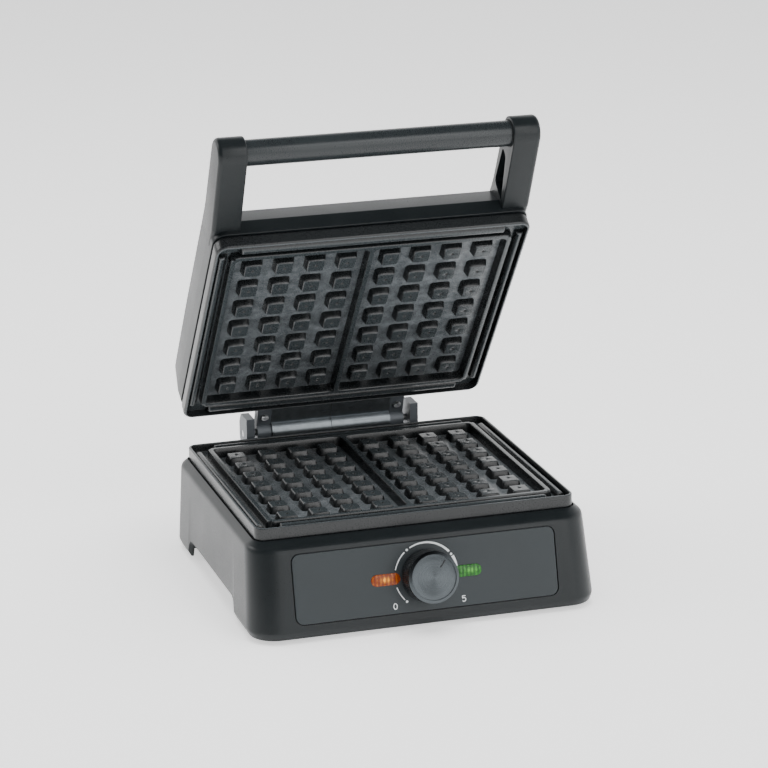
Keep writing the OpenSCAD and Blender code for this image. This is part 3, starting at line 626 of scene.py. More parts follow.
@dataclass
class Housing:
    """Lower housing: drafted walls, sloping deck, arched skirts and a recess for the panel."""

    top: float = 68.7
    half_top: float = 132.2
    front_top: float = -122.1
    rear: float = 119.0
    side_draft: float = 0.0612
    front_draft: float = 0.2466
    corner: float = 21.0
    wall: float = 3.2
    arch: float = 13.0
    arch_front: float = -76.3
    arch_rear: float = 67.0
    arch_bend: float = 9.0
    foot: float = 3.2
    skirt: float = 8.2
    shoulder: float = 69.0
    deck: tuple[float, float, float] = (126.2, 110.7, 9.4)
    deck_top: float = 73.4
    deck_low: float = 71.4
    mouth: tuple[float, float, float] = (115.5, 100.0, 6.0)
    arc: int = 10
    run: int = 96
    steps: int = 5

    def section(self, z: float, inset: float = 0.0) -> list[float]:
        """The housing's outline at a height, drawn in by an inset."""
        fall = self.top - z
        return [self.half_top + fall * self.side_draft - inset,
                self.front_top - fall * self.front_draft + inset,
                self.rear - inset, max(self.corner + fall * 0.02 - inset, 1.0), z]

    def build(self) -> Skin:
        """Lofts the sections and opens the panel's recess in the sloping front.

        Returns:
            The closed skin.
        """
        knots = np.array([
            self.section(self.foot, 4.8), self.section(self.foot, 2.6), self.section(self.skirt),
            [*self.section(self.top)[:4], self.shoulder],
            self._level(self.deck, self.deck_top), self._level(self.deck, self.deck_low),
            self._level(self.mouth, self.deck_low), self._level(self.mouth, 68.6),
            self.section(64.0, self.wall), self.section(self.skirt, self.wall)])
        reach = np.array([0.4, 0.8, 1.4, 3.6, 0.7, 0.25, 0.3, 0.3, 1.0, 0.5])
        rows = softened(knots, reach, self.steps, True)
        loops = ring_loops(rows, self.arc, self.run)
        self._raise_skirt(loops)
        skin = loft(loops, around=True)
        return self._with_recess(skin, loops)

    def _level(self, outline: tuple[float, float, float], z: float) -> list[float]:
        """A rounded rectangle (half width, half depth, corner radius) at a height."""
        half_x, half_y, corner = outline
        return [half_x, -half_y, half_y, corner, z]

    def _raise_skirt(self, loops: Array) -> None:
        """Lifts the skirts' lower edges into an arch whose ends are quarter circles."""
        x, y, z = loops[..., 0], loops[..., 1], loops[..., 2]
        inside = np.minimum(y - self.arch_front, self.arch_rear - y)
        part = np.clip(inside / self.arch_bend, 0, 1)
        rise = self.arch * np.where(inside > 0, 0.35 + 0.65 * np.sqrt(1 - (1 - part) ** 2), 0)
        edge = self.skirt + 1.6
        low = (z < edge) & (np.abs(x) > 118)
        squeeze = np.clip((edge - z) / (edge - self.foot), 0, 1)
        lift = np.where(low, rise - (1 - squeeze) * np.where(rise > 0, 3.6, 0), 0)
        loops[..., 2] = z + lift
        loops[..., 0] = x - np.sign(x) * lift * self.side_draft

    def _with_recess(self, skin: Skin, loops: Array) -> Skin:
        """Swaps the flat front for two faces round a recess with walls and a floor."""
        k, n, _ = loops.shape
        row = 3 * (self.steps + 1) - 1
        left, right = self.arc, self.arc + self.run
        drop = {row * n + j for j in range(left, right)}
        faces = [f for i, f in enumerate(skin.faces) if i not in drop]
        hole_rows = np.array([[103.3, -26.85, 26.85, 6.7, 0.0], [103.3, -26.85, 26.85, 6.7, -2.1]])
        hole = ring_loops(hole_rows, 8, 2)
        m = hole.shape[1]
        space = SPACE
        flat = space.panel(hole.reshape(-1, 3)) / MM - np.array(space.shift) / MM
        start = len(skin.points)
        points = np.concatenate([skin.points, flat])
        top_ring = (start + np.arange(m)).tolist()
        floor = (start + m + np.arange(m)).tolist()
        middle = 8 + 1
        ring = top_ring[middle:] + top_ring[:middle]
        half = m // 2
        mid_col = (left + right) // 2
        low = [row * n + j for j in range(left, right + 1)]
        high = [(row + 1) * n + j for j in range(left, right + 1)]
        cut = mid_col - left
        right_face = low[cut:] + high[cut:][::-1] + ring[:half + 1][::-1]
        left_face = high[:cut + 1][::-1] + low[:cut + 1] + (ring[half:] + ring[:1])[::-1]
        walls = [[top_ring[j], top_ring[(j + 1) % m], floor[(j + 1) % m], floor[j]] for j in range(m)]
        return Skin(points, faces + [right_face, left_face, floor] + walls)


SPACE = Space()


@dataclass
class FrontPanel:
    """Inlaid control panel with its printed scale and two windows."""

    half_width: float = 102.5
    half_height: float = 26.15
    corner: float = 6.0
    window_x: float = 31.9
    scale_r: float = 24.6

    def plate(self) -> Skin:
        """The panel: a rounded rectangle with a softened rim."""
        knots = np.array([
            [self.half_width - e, e - self.half_height, self.half_height - e, self.corner - e, z]
            for e, z in ((0, -1.9), (0, 0.1), (3, 0.1))])
        return loft(ring_loops(softened(knots, np.array([0, 0.5, 0.0]), 4, False), 10, 1))

    def window(self, side: int) -> Skin:
        """A pill-shaped lens with a crowned top."""
        crown = np.array([[11.4, 4.4, -1.5], [11.4, 4.4, 0.3], [10.8, 3.8, 0.7], [8.7, 1.8, 0.9]])
        rows = np.stack([crown[:, 0], -crown[:, 1], crown[:, 1], crown[:, 1] - 0.02, crown[:, 2]], -1)
        skin = loft(ring_loops(softened(rows, np.array([0, 0.3, 0.5, 0.5]), 3, False), 8, 1))
        skin.points[:, 0] += side * self.window_x
        return skin

    def marks(self) -> Skin:
        """Scale arcs, dots and two numerals, as thin raised lines."""
        low, high = 0.06, 0.16
        spans = ((-132, -106, 0.35, 0.35), (-75, -40, 0.35, 0.5), (-28, 50, 0.5, 0.85), (60, 86, 1.15, 0.3))
        parts = [self._arc(*span) for span in spans]
        for angle in (-137, -34, 56):
            a = math.radians(90 - angle)
            ball = lathe(np.array([0.95, 0.95]), np.array([low, high]), 24)
            dot = loft(ball)
            dot.points[:, :2] += self.scale_r * np.array([math.cos(a), math.sin(a)])
            parts.append(dot)
        parts += [self._zero(-26.0, -20.6), self._five(27.7, -20.7)]
        return Skin.joined(parts)

    def _arc(self, start: float, stop: float, first: float, last: float) -> Skin:
        """Part of the scale between two clockwise angles, its half width growing along it."""
        a = np.radians(90 - np.linspace(start, stop, 40))
        path = self.scale_r * np.stack([np.cos(a), np.sin(a)], -1)
        return strip(path, np.linspace(first, last, 40), 0.06, 0.16)

    def _zero(self, x: float, y: float) -> Skin:
        """The figure 0: an upright oval line."""
        a = np.linspace(0, 2 * math.pi, 41)
        path = np.stack([x + 1.35 * np.cos(a), y + 2.1 * np.sin(a)], -1)
        return strip(path, np.full(41, 0.3), 0.06, 0.16)

    def _five(self, x: float, y: float) -> Skin:
        """The figure 5: a bar, a stem and a bowl."""
        bar = np.array([[x + 1.3, y + 2.05], [x + 0.1, y + 2.05], [x - 1.1, y + 2.05]])
        stem = np.array([[x - 1.05, y + 2.2], [x - 1.12, y + 1.2], [x - 1.2, y + 0.3]])
        a = np.linspace(math.radians(140), math.radians(-145), 24)
        bowl = np.stack([x - 0.1 + 1.4 * np.cos(a), y - 0.7 + 1.4 * np.sin(a)], -1)
        return Skin.joined([strip(p, np.full(len(p), 0.3), 0.06, 0.16) for p in (bar, stem, bowl)])


@dataclass
class Knob:
    """Ribbed thermostat knob with a turned face and a pointer line."""

    radius: float = 19.8
    reach: float = 20.0
    ribs: int = 80
    pointer: float = 38.0

    def grip(self) -> Skin:
        """The ribbed grip: a turned profile whose middle part ripples as cos(ribs a)."""
        profile = np.array([[16.5, 1.0], [19.2, 1.0], [19.5, 1.4], [19.55, 2.6], [19.8, 3.0], [19.8, 16.2],
                            [19.7, 16.7], [19.55, 17.3], [19.5, 18.2], [19.45, 18.4], [18.0, 18.45]])
        steps = self.ribs * 6
        angle = np.arange(steps) * 2 * math.pi / steps
        gate = np.where((profile[:, 1] > 2.9) & (profile[:, 1] < 16.8) & (profile[:, 0] > 19.6), 0.22, 0.0)
        ripple = gate[:, None] * np.cos(self.ribs * angle)[None, :]
        return loft(lathe(profile[:, 0], profile[:, 1], steps, ripple))

    def face(self) -> Skin:
        """The face disc, a little below the rim, with a soft edge."""
        r = np.array([18.0, 19.3, 19.5, 19.5, 17.6, 17.3, 17.1, 16.95, 16.8, 16.5, 12.0, 6.0, 1.0])
        h = np.array([18.44, 18.44, 18.55, 18.7, 19.85, 20.0, 19.97, 19.7, 19.5, 19.45, 19.5, 19.6, 19.6])
        return loft(lathe(r, h, 96))

    def pointer_line(self) -> Skin:
        """The dark pointer line, from the middle zone to the rim of the face."""
        a = math.radians(90 - self.pointer)
        way = np.array([math.cos(a), math.sin(a)])
        path = np.linspace(8.6, 15.2, 8)[:, None] * way
        return strip(path, np.full(8, 0.5), 19.4, 19.68)


@dataclass
class Casting:
    """Waffle plate as one height field: lip, two wells, pegs with dimples, and rounded beads."""

    top: float = 82.6
    well_x: float = 108.2
    well_y: float = 91.5
    divider: float = 2.0
    lip: float = 3.6
    depth: float = 11.4
    peg_drop: float = 1.6
    peg_half: float = 6.5
    pitch_y: float = 25.2
    columns: tuple[float, ...] = (17.42, 42.37, 67.32, 92.27)
    rows: int = 7
    channel: float = 6.0
    bead_side: float = 118.6
    bead_side_half: float = 3.3
    bead_front: float = 101.2
    bead_front_half: float = 4.7
    bead_crest: float = 0.1
    side_crest: float = 1.6

    def build(self) -> Skin:
        """Samples the height field on a grid that is finest on slopes, and closes it below.

        Returns:
            The closed casting.
        """
        peg = np.array([0, 0.7, 1.15, 1.6, 5.4, 6.1, 6.5, 6.9, 7.5, 8.4, 9.2, 9.7, 10.4])
        peg = np.unique(np.concatenate([-peg, peg]))
        wall = np.array([-0.5, -0.15, 0.0, 0.2, 0.6, 1.0, 1.4, 1.8, 2.2])
        cols = np.array(self.columns)
        x = np.concatenate([(cols[:, None] + peg).ravel(), self.well_x - wall, self.divider + wall, [0.0],
                            self.well_x + self.lip + np.array([-0.6, -0.2, 0.0, 0.25, 0.5, 1.0, 2.0]),
                            self.bead_side + self.bead_side_half * np.cos(np.linspace(0, math.pi, 13)),
                            [122.5], 103.0 + np.array([0, 0.3, 0.8, 1.3, 1.8, 2.4])])
        x = self._thinned(np.concatenate([-x, x]))
        mid = (np.arange(self.rows) - (self.rows - 1) / 2) * self.pitch_y
        crest = np.cos(np.linspace(0, math.pi, 15))
        y = np.concatenate([(mid[:, None] + peg).ravel(), *[s * (self.well_y - wall) for s in (-1, 1)],
                            *[s * (self.well_y + self.lip + np.array([-0.6, -0.2, 0.0, 0.25, 0.5, 1.0]))
                              for s in (-1, 1)],
                            *[s * (self.bead_front + self.bead_front_half * crest) for s in (-1, 1)],
                            [-107.0, 107.0],
                            *[s * np.array([92.0, 92.5, 93.2, 94.0]) for s in (-1, 1)]])
        y = self._thinned(y)
        gx, gy = np.meshgrid(x, y)
        gz = self._height(gx, gy)
        return self._closed(gx, gy, gz)

    def _thinned(self, lines: Array) -> Array:
        """Sorted grid lines with near copies left out."""
        lines = np.unique(np.round(lines, 2))
        return lines[np.concatenate([[True], np.diff(lines) > 0.12])]

    def _height(self, x: Array, y: Array) -> Array:
        """Height at each grid point: the highest of floor, pegs, well walls, lip and beads.

        Args:
            x: Places across, as a grid.
            y: Places along, as a grid.

        Returns:
            The heights, as a grid.
        """
        ax, ay = np.abs(x), np.abs(y)
        floor = self.top - self.depth
        # distance inside the nearer well, with corners of 4 mm
        half = (self.well_x - self.divider) / 2
        mid = (self.well_x + self.divider) / 2
        qx, qy = np.abs(ax - mid) - half + 4.0, ay - self.well_y + 4.0
        well = np.hypot(np.maximum(qx, 0), np.maximum(qy, 0)) + np.minimum(np.maximum(qx, qy), 0) - 4.0
        z = np.interp(-well, [-0.4, -0.1, 0.15, 1.7, 2.1, 2.4],
                      [self.top, self.top - 0.12, self.top - 0.6, floor + 0.7, floor + 0.15, floor])
        # pegs: distance outside the rounded top square of the nearest peg
        cols = np.array(self.columns)
        near_x = np.abs(ax[..., None] - cols).min(axis=-1)
        rows = (np.arange(self.rows) - (self.rows - 1) / 2) * self.pitch_y
        near_y = np.abs(y[..., None] - rows).min(axis=-1)
        px, py = near_x - self.peg_half + 1.2, near_y - self.peg_half + 1.2
        peg = np.hypot(np.maximum(px, 0), np.maximum(py, 0)) + np.minimum(np.maximum(px, py), 0) - 1.2
        peg_top = self.top - self.peg_drop
        height = np.interp(peg, [-0.45, -0.1, 0.3, 2.7, 3.1, 3.6],
                           [peg_top, peg_top - 0.12, peg_top - 0.9, floor + 0.9, floor + 0.25, floor])
        dimple = np.interp(np.hypot(near_x, near_y), [0.0, 0.75, 1.2, 1.6], [1.3, 1.2, 0.15, 0.0])
        z = np.where(well < 0, np.maximum(z, height - dimple), z)
        # outside the lip the casting drops to the channel, where the beads stand
        ox, oy = ax - self.well_x - self.lip + 5.0, ay - self.well_y - self.lip + 5.0
        out = np.hypot(np.maximum(ox, 0), np.maximum(oy, 0)) + np.minimum(np.maximum(ox, oy), 0) - 5.0
        base = self.top - self.channel
        drop = np.interp(out, [-0.5, -0.1, 0.2, 0.8], [self.top, self.top - 0.15, self.top - 0.9, base])
        z = np.where(out > -0.55, drop, z)
        side = np.clip(1 - ((ax - self.bead_side) / self.bead_side_half) ** 2, 0, 1)
        side_end = np.clip((95.0 - ay) / 1.6, 0, 1)
        bead = base + (self.channel - self.side_crest) * side**0.4 * np.sqrt(1 - (1 - side_end) ** 2)
        front = np.clip(1 - ((ay - self.bead_front) / self.bead_front_half) ** 2, 0, 1)
        front_end = np.clip((105.4 - ax) / 2.2, 0, 1)
        roll = base + (self.channel - self.bead_crest) * front**0.42 * np.sqrt(1 - (1 - front_end) ** 2)
        return np.where(out > 0.25, np.maximum(z, np.maximum(bead, roll)), z)

    def _closed(self, gx: Array, gy: Array, gz: Array) -> Skin:
        """The grid's quads, a skirt down to the underside and one face below."""
        rows, cols = gx.shape
        index = np.arange(rows * cols).reshape(rows, cols)
        quads = np.stack([index[:-1, :-1], index[:-1, 1:], index[1:, 1:], index[1:, :-1]], -1).reshape(-1, 4)
        rim = np.concatenate([index[0, :-1], index[:-1, -1], index[-1, :0:-1], index[:0:-1, 0]])
        points = np.stack([gx, gy, gz], -1).reshape(-1, 3)
        under = points[rim].copy()
        under[:, 2] = self.top - self.channel - 1.6
        low = rows * cols + np.arange(len(rim))
        skirt = np.stack([rim, low, np.roll(low, -1), np.roll(rim, -1)], -1)
        return Skin(np.concatenate([points, under]), quads.tolist() + skirt.tolist() + [low[::-1].tolist()])


@dataclass
class TrayRim:
    """Thin upright wall round the lower plate, with its foot on the deck."""

    half_x: float = 125.0
    half_y: float = 109.5
    low: float = 72.2
    high: float = 82.6
    wall: float = 2.0
    corner: float = 8.0

    def build(self) -> Skin:
        """A ring whose profile has a softened top edge.

        Returns:
            The closed ring.
        """
        def at(inset: float, z: float) -> list[float]:
            """The wall's outline drawn in by an inset, at a height."""
            return [self.half_x - inset, inset - self.half_y, self.half_y - inset, self.corner - inset, z]

        knots = np.array([at(0.3, self.low), at(0, self.low + 1.6), at(0, self.high),
                          at(self.wall, self.high), at(self.wall + 0.3, 76.4), at(5.0, 75.6),
                          at(5.0, self.low)])
        reach = np.array([0.2, 0.3, 0.8, 0.8, 0.5, 0.3, 0.2])
        return loft(ring_loops(softened(knots, reach, 4, True), 10, 1), around=True)


@dataclass
class LidRim:
    """Frame of the lid: rounded outer edge and the narrow ledge round the upper plate."""

    half_x: float = 125.0
    half_y: float = 109.5
    face: float = 83.3
    back: float = 94.1
    corner: float = 9.0

    def build(self) -> Skin:
        """A ring with a bevelled face edge, drawn shut.

        Returns:
            The closed ring.
        """
        def at(inset: float, z: float) -> list[float]:
            """The frame's outline drawn in by an inset, at a height."""
            return [self.half_x - inset, inset - self.half_y, self.half_y - inset,
                    max(self.corner - inset, 1.5), z]

        knots = np.array([at(2.2, self.back), at(0.6, self.back - 0.1), at(0, 92.0), at(0, self.face + 1.2),
                          at(1.3, self.face), at(2.3, self.face), at(2.6, 88.0), at(2.6, self.back - 1)])
        reach = np.array([0.3, 0.5, 0.6, 1.0, 0.6, 0.3, 0.5, 0.3])
        return loft(ring_loops(softened(knots, reach, 4, True), 10, 1), around=True)


@dataclass
class LidShell:
    """Lid cover: a low dark wall, a lighter front facet and a gently falling top."""

    half_x: float = 125.8
    low: float = 94.6
    fold: float = 106.9
    top_front: float = 127.0
    corner: float = 10.0
    rise: float = 32.4
    fall_at: tuple[float, ...] = (-98.6, 8.0, 72.3, 97.0, 108.0)
    fall_to: tuple[float, ...] = (127.0, 126.5, 124.7, 123.6, 123.1)

    def build(self) -> Skin:
        """Lofts the cover; heights above the lower edge follow the falling top line.

        Returns:
            The closed skin.
        """
        share = (self.fold - self.low) / (self.top_front - self.low)
        knots = np.array([
            [self.half_x - 3.0, -107.6, 104.0, 7.0, 0.0],
            [self.half_x - 0.4, -110.7, 107.2, self.corner, 0.0],
            [self.half_x, -110.6, 107.2, self.corner, share],
            [self.half_x - 0.2, -98.6, 97.2, self.corner, 1.0],
            [self.half_x - 14, -84.0, 84.0, 9.0, 1.0],
            [90.0, -67.0, 67.0, 9.0, 1.0],
            [60.0, -50.0, 50.0, 9.0, 1.0],
            [30.0, -27.0, 27.0, 8.0, 1.0],
            [4.0, -4.0, 4.0, 3.0, 1.0]])
        knots[:, 4] *= self.rise
        reach = np.array([0.3, 0.6, 0.7, 2.6, 0.5, 1.0, 1.0, 1.0, 0.1])
        rows = softened(knots, reach, 6, False)
        loops = ring_loops(rows, 10, 16)
        height = np.interp(loops[..., 1], self.fall_at, self.fall_to)
        loops[..., 2] = self.low + loops[..., 2] / self.rise * (height - self.low)
        return loft(loops)


@dataclass
class HandleArm:
    """One arm: a wedge from the lid to a round end that takes the bar."""

    inner: float = 104.0
    outer: float = 126.1
    bar_y: float = -169.6
    bar_z: float = 124.0
    end_r: float = 13.0
    root: float = -90.0
    foot: float = 97.9
    top: float = 127.2
    front: float = -111.4
    pocket_depth: float = 7.5
    pocket: tuple[tuple[float, float], ...] = ((-149.5, 117.6), (-150.5, 126.6),
                                               (-114.6, 123.2), (-113.8, 104.0))

    def outline(self) -> Array:
        """Side outline: root, top line, round end and lower line, anticlockwise seen from +x."""
        angle = np.radians(np.linspace(82, 256, 30))
        end = np.stack([self.bar_y + self.end_r * np.cos(angle), self.bar_z + self.end_r * np.sin(angle)], -1)
        corners = np.array([[self.front, self.foot], [self.root, self.foot], [self.root, self.top - 0.4],
                            [self.front - 0.6, self.top], end[0], end[-1]])
        rounded = round_polygon(corners, np.array([0.8, 3.5, 3.5, 6.0, 0.1, 0.1]), BEND)
        lower = rounded[:-2 * (BEND + 1)]
        return np.concatenate([lower, end])

    def build(self) -> Skin:
        """The right-hand arm, with a recess on its inner side between the lid and the bar.

        Returns:
            The closed skin.
        """
        outline = self.outline()
        loops = slab(outline, self.inner, self.outer, 1.0, 3.4)
        skin = loft(loops, caps=False)
        k, n, _ = loops.shape
        pocket = round_polygon(np.array(self.pocket), np.array([3.0, 4.0, 5.0, 1.5]), 5)[::-1]
        m = len(pocket)
        depth = self.inner + self.pocket_depth
        flat = np.concatenate([np.concatenate([np.full((m, 1), x), pocket], 1) for x in (self.inner, depth)])
        start = len(skin.points)
        rim = np.arange(start, start + m)
        floor = rim + m
        walls = np.stack([rim, np.roll(rim, -1), np.roll(floor, -1), floor], -1).tolist()
        first = loops[0][:, 1:]
        far_o, near_o = int(first[:, 0].argmin()), int(first[:, 0].argmax())
        far_p, near_p = int(pocket[:, 0].argmin()), int(pocket[:, 0].argmax())

        def run(a: int, b: int, count: int) -> list[int]:
            """Numbers from a to b going forward round a ring of count."""
            return [(a + i) % count for i in range((b - a) % count + 1)]

        half_a = run(far_o, near_o, n) + [start + i for i in run(far_p, near_p, m)[::-1]]
        half_b = run(near_o, far_o, n) + [start + i for i in run(near_p, far_p, m)[::-1]]
        outer_cap = (np.arange(n) + (k - 1) * n).tolist()
        return Skin(np.concatenate([skin.points, flat]), skin.faces + walls + [half_a, half_b, outer_cap,
                                                                                floor.tolist()])


@dataclass
class HandleBar:
    """Round bar between the arms, and dark rings where it enters them, which paint the shadow of that joint.
    """

    radius: float = 10.0
    half: float = 111.5
    arm_inner: float = 104.0
    y: float = -169.6
    z: float = 124.0

    def _turned(self, radius: Sequence[float], along: Sequence[float]) -> Skin:
        """A turned shape laid along x at the bar's axis."""
        loops = lathe(np.array(radius), np.array(along), 72)
        return loft(np.stack([loops[..., 2], self.y + loops[..., 0], self.z + loops[..., 1]], -1))

    def bar(self) -> Skin:
        """The bar, with softened ends."""
        r = self.radius
        return self._turned([r - 0.8, r - 0.1, r, r, r, r, r - 0.1, r - 0.8],
                            [-self.half, -self.half + 0.3, -self.half + 1, -60, 60, self.half - 1,
                             self.half - 0.3, self.half])

    def shadow_ring(self, side: int) -> Skin:
        """A low dark ring round the bar where it meets an arm: a painted shadow where the bar enters the arm.
        """
        r, x = self.radius, self.arm_inner
        return self._turned([r + 0.05, r + 0.75, r + 0.75, r + 0.05],
                            [side * (x - 0.55), side * (x - 0.45), side * (x + 0.6), side * (x + 0.6)])


# ---------- studio ----------


@dataclass
class Studio:
    """Pale floor, soft lights and the camera."""

    yaw: float = -16.81
    pitch: float = 16.46
    roll: float = -0.75
    place: tuple[float, float, float] = (-0.6485, -2.1689, 0.8216)
    lens: float = 143.18
    floor_reach: float = 20.0
    floor_glow: float = 0.9
    sky_glow: float = 1.7
    dark_side: tuple[float, float, float] = (-0.87, -0.49, 0.0)

    def build(self) -> None:
        """Adds the floor, the world, the lights and the camera."""
        self._floor()
        self._world()
        self._lamp("key", (-1.9, 0.9, 1.3), (0.0, 0.0, 0.12), 1.1, 16.0)
        self._lamp("front", (0.9, -2.3, 0.9), (0.0, 0.0, 0.15), 1.2, 8.0)
        self._lamp("overhead", (0.0, 0.0, 2.4), (0.0, 0.0, 0.0), 2.0, 70.0).visible_glossy = False
        self._lamp("edge", (0.62, -1.55, 1.65), (0.0, -0.12, 0.07), 0.7, 6.0)
        self._camera()

    def _floor(self) -> None:
        """A wide plane with a faint mottled pale finish."""
        mesh = bpy.data.meshes.new("floor")
        reach = self.floor_reach
        corners = [(x * reach, y * reach, 0) for x, y in ((-1, -1), (1, -1), (1, 1), (-1, 1))]
        mesh.from_pydata(corners, [], [(0, 1, 2, 3)])
        made, wires = blank_material("pale_floor")
        coord = wires.node("TexCoord", {}).outputs["Object"]
        colour = wires.blend(wires.noise(coord, 3.0, 2.0, 0.5), (0.87, 0.87, 0.87), (0.89, 0.89, 0.89))
        shader = wires.node("BsdfPrincipled", {
            "Base Color": colour, "Roughness": 0.9, "Specular IOR Level": 0.1,
            "Emission Color": (1.0, 1.0, 1.0, 1.0), "Emission Strength": self.floor_glow})
        wires.node("OutputMaterial", {0: shader.outputs[0]})
        mesh.materials.append(made)
        floor = bpy.data.objects.new("floor", mesh)
        bpy.context.scene.collection.objects.link(floor)

    def _world(self) -> None:
        """A bright band round the horizon that fades to a dark ceiling and to a dark front left."""
        world = bpy.data.worlds.new("studio")
        world.use_nodes = True
        world.node_tree.nodes.clear()
        wires = Wiring(world.node_tree)
        coord = wires.node("TexCoord", {}).outputs["Generated"]
        height = wires.node("SeparateXYZ", {0: coord}).outputs["Z"]
        ramp = wires.node("ValToRGB", {"Fac": height})
        ramp.color_ramp.interpolation = "EASE"
        stops = ramp.color_ramp.elements
        stops[0].position, stops[0].color = 0.45, (1.0, 1.0, 1.0, 1.0)
        stops[1].position, stops[1].color = 0.82, (0.02, 0.02, 0.021, 1.0)
        middle = stops.new(0.64)
        middle.color = (0.42, 0.43, 0.44, 1.0)
        side = wires.vector("DOT_PRODUCT", coord, self.dark_side).outputs["Value"]
        sky = wires.blend(wires.spread(side, 0.1, 0.75, 0.0, 0.9), ramp.outputs["Color"], (0.02, 0.02, 0.02))
        back = wires.node("Background", {"Color": sky, "Strength": self.sky_glow})
        wires.node("OutputWorld", {0: back.outputs[0]})
        bpy.context.scene.world = world

    def _lamp(self, name: str, place: tuple, target: tuple, size: float,
              power: float) -> bpy.types.Object:
        """A square soft light that looks at a target."""
        light = bpy.data.lights.new(name, "AREA")
        light.shape = "SQUARE"
        light.size = size
        light.energy = power
        made = bpy.data.objects.new(name, light)
        made.location = place
        made.rotation_euler = (Vector(target) - Vector(place)).to_track_quat("-Z", "Y").to_euler()
        bpy.context.scene.collection.objects.link(made)
        return made

    def _camera(self) -> None:
        """The camera, from its yaw, pitch and roll."""
        y, p, r = (math.radians(v) for v in (self.yaw, self.pitch, self.roll))
        back = np.array([math.sin(y) * math.cos(p), -math.cos(y) * math.cos(p), math.sin(p)])
        right = np.cross([0.0, 0.0, 1.0], back)
        right /= np.linalg.norm(right)
        up = np.cross(back, right)
        turned = math.cos(r) * right + math.sin(r) * up
        risen = -math.sin(r) * right + math.cos(r) * up
        matrix = np.eye(4)
        matrix[:3, 0], matrix[:3, 1], matrix[:3, 2], matrix[:3, 3] = turned, risen, back, self.place
        lens = bpy.data.cameras.new("camera")
        lens.lens = self.lens
        lens.sensor_width = 36.0
        lens.clip_end = 60.0
        made = bpy.data.objects.new("camera", lens)
        made.matrix_world = Matrix(matrix.tolist())
        bpy.context.scene.collection.objects.link(made)
        bpy.context.scene.camera = made


@dataclass
class CarriedParts:
    """Finishes for the CAD nodes that show as they are."""

    def dress(self) -> None:
        """Gives every carried node the finish of its kind."""
        kinds = {
            UNDERSIDE: ("bottom_cover", "bar_plugs"),
            RUBBER: ("feet", "cord_gland"),
            STEEL: ("cover_screws", "lower_frame_screws", "lower_pan", "lower_pan_screws", "bracket_screws",
                    "hinge_pin", "upper_frame_screws", "upper_pan", "upper_pan_screws", "clamp_screws",
                    "handle_screws", "thermostat_bracket", "thermostat_nut", "knob_spindle"),
            STAINED: ("lower_element", "upper_element"),
            CERAMIC: ("thermostat_body", "terminal_block", "lamp_holders", "amber_lamp", "green_lamp"),
            HINGE: ("hinge_bracket", "clamp_left", "clamp_right"),
            BARREL: ("knuckle_left", "knuckle_right"),
        }
        for finish, names in kinds.items():
            for name in names:
                node = frame["nodes"][name]
                node.data.materials.clear()
                node.data.materials.append(finish.material())
                LOG.info("carried %s: %s", name, finish.name)


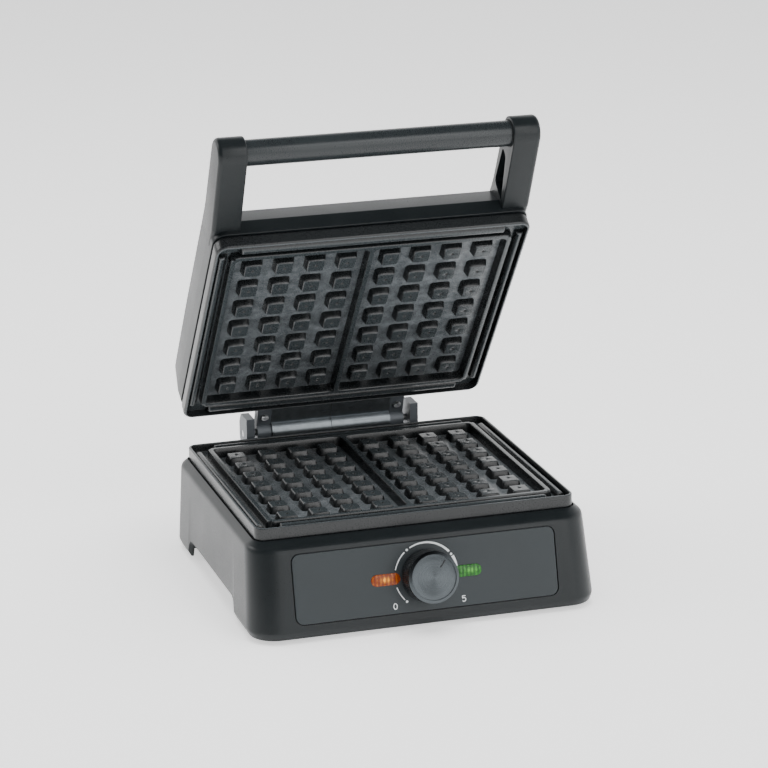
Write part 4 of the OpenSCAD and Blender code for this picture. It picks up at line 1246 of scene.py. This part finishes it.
def main() -> None:
    """Builds every sub-assembly in order."""
    logging.basicConfig(level=logging.INFO, format="%(name)s: %(message)s")
    space = SPACE
    fit = Fitting(space)
    Studio().build()
    fit.add("housing", Housing().build(), space.base, "base", HOUSING, "housing", ("base_housing",))
    panel = FrontPanel()
    fit.add("control_panel", panel.plate(), space.panel, "base", PANEL, "panel", ("front_panel",))
    fit.add("scale_marks", panel.marks(), space.panel, "base", INK, "panel")
    middles = [tuple(space.panel(np.array([[s * 33.5 + 1.5, 0.0, 0.8]]))[0].tolist()) for s in (-1, 1)]
    amber = LensFinish("amber_lens", (0.30, 0.075, 0.008), (0.16, 0.022, 0.001), (1.0, 0.42, 0.015), 1.5,
                       middles[0])
    green = LensFinish("green_lens", (0.03, 0.20, 0.02), (0.006, 0.07, 0.004), (0.25, 0.95, 0.12), 0.6,
                       middles[1])
    fit.add("amber_lens", panel.window(-1), space.panel, "base", amber, "amber", ("amber_window",))
    fit.add("green_lens", panel.window(1), space.panel, "base", green, "green", ("green_window",))
    knob = Knob()
    tilt = math.atan2(space.outward[2], -space.outward[1])
    face = replace(SPUN_FACE, centre=tuple(space.panel(np.zeros((1, 3)))[0].tolist()),
                   tilt=math.pi / 2 - tilt, axis=tuple(space.outward.tolist()))
    fit.add("knob_grip", knob.grip(), space.panel, "knob", KNOB, "knob", ("knob_body",))
    fit.add("knob_face", knob.face(), space.panel, "knob", face, "knob_cap", ("knob_cap",))
    fit.add("knob_pointer", knob.pointer_line(), space.panel, "knob", POINTER_INK_AND_PAINTED_SHADOW, "knob")
    fit.add("tray_rim", TrayRim().build(), space.base, "base", EDGED, "frame", ("lower_frame",))
    fit.add("lower_casting", Casting().build(), space.base, "base", CASTING, "non_stick", ("lower_plate",))
    facing = space.lid(np.array([[0.0, 0.0, 1.0], [0.0, 0.0, 0.0]]))
    facing = (facing[0] - facing[1]) / np.linalg.norm(facing[0] - facing[1])
    # the lid's casting and frame paint shade on their walls about the lid's own facing
    lid_casting = replace(CASTING, name="coated_casting_lid", axis=tuple(float(v) for v in facing))
    upper = Casting(bead_crest=0.0, side_crest=1.2).build()
    upper.points[:, 2] = 82.6 + 83.3 - upper.points[:, 2]
    fit.add("upper_casting", upper, space.lid, "lid", lid_casting, "non_stick", ("upper_plate",))
    lid_edged = replace(EDGED, name="edged_frame_lid", axis=lid_casting.axis)
    fit.add("lid_rim", LidRim().build(), space.lid, "lid", lid_edged, "frame", ("upper_frame",))
    fit.add("lid_cover", LidShell().build(), space.lid, "lid", HOUSING, "housing", ("lid_shell",))
    right = HandleArm().build()
    fit.add("arm_right", right, space.lid, "lid", HOUSING, "housing", ("handle_arm_right",))
    fit.add("arm_left", mirrored_x(right), space.lid, "lid", HOUSING, "housing", ("handle_arm_left",))
    bar = HandleBar()
    fit.add("bar", bar.bar(), space.lid, "lid", BAR, "bar", ("handle_bar",))
    # dark rings at the bar's ends: painted shadow where the bar enters the arms
    fit.add("shadow_ring_left", bar.shadow_ring(-1), space.lid, "lid", POINTER_INK_AND_PAINTED_SHADOW, "dark_plastic")
    fit.add("shadow_ring_right", bar.shadow_ring(1), space.lid, "lid", POINTER_INK_AND_PAINTED_SHADOW, "dark_plastic")
    CarriedParts().dress()


if __name__ == "__main__":
    main()
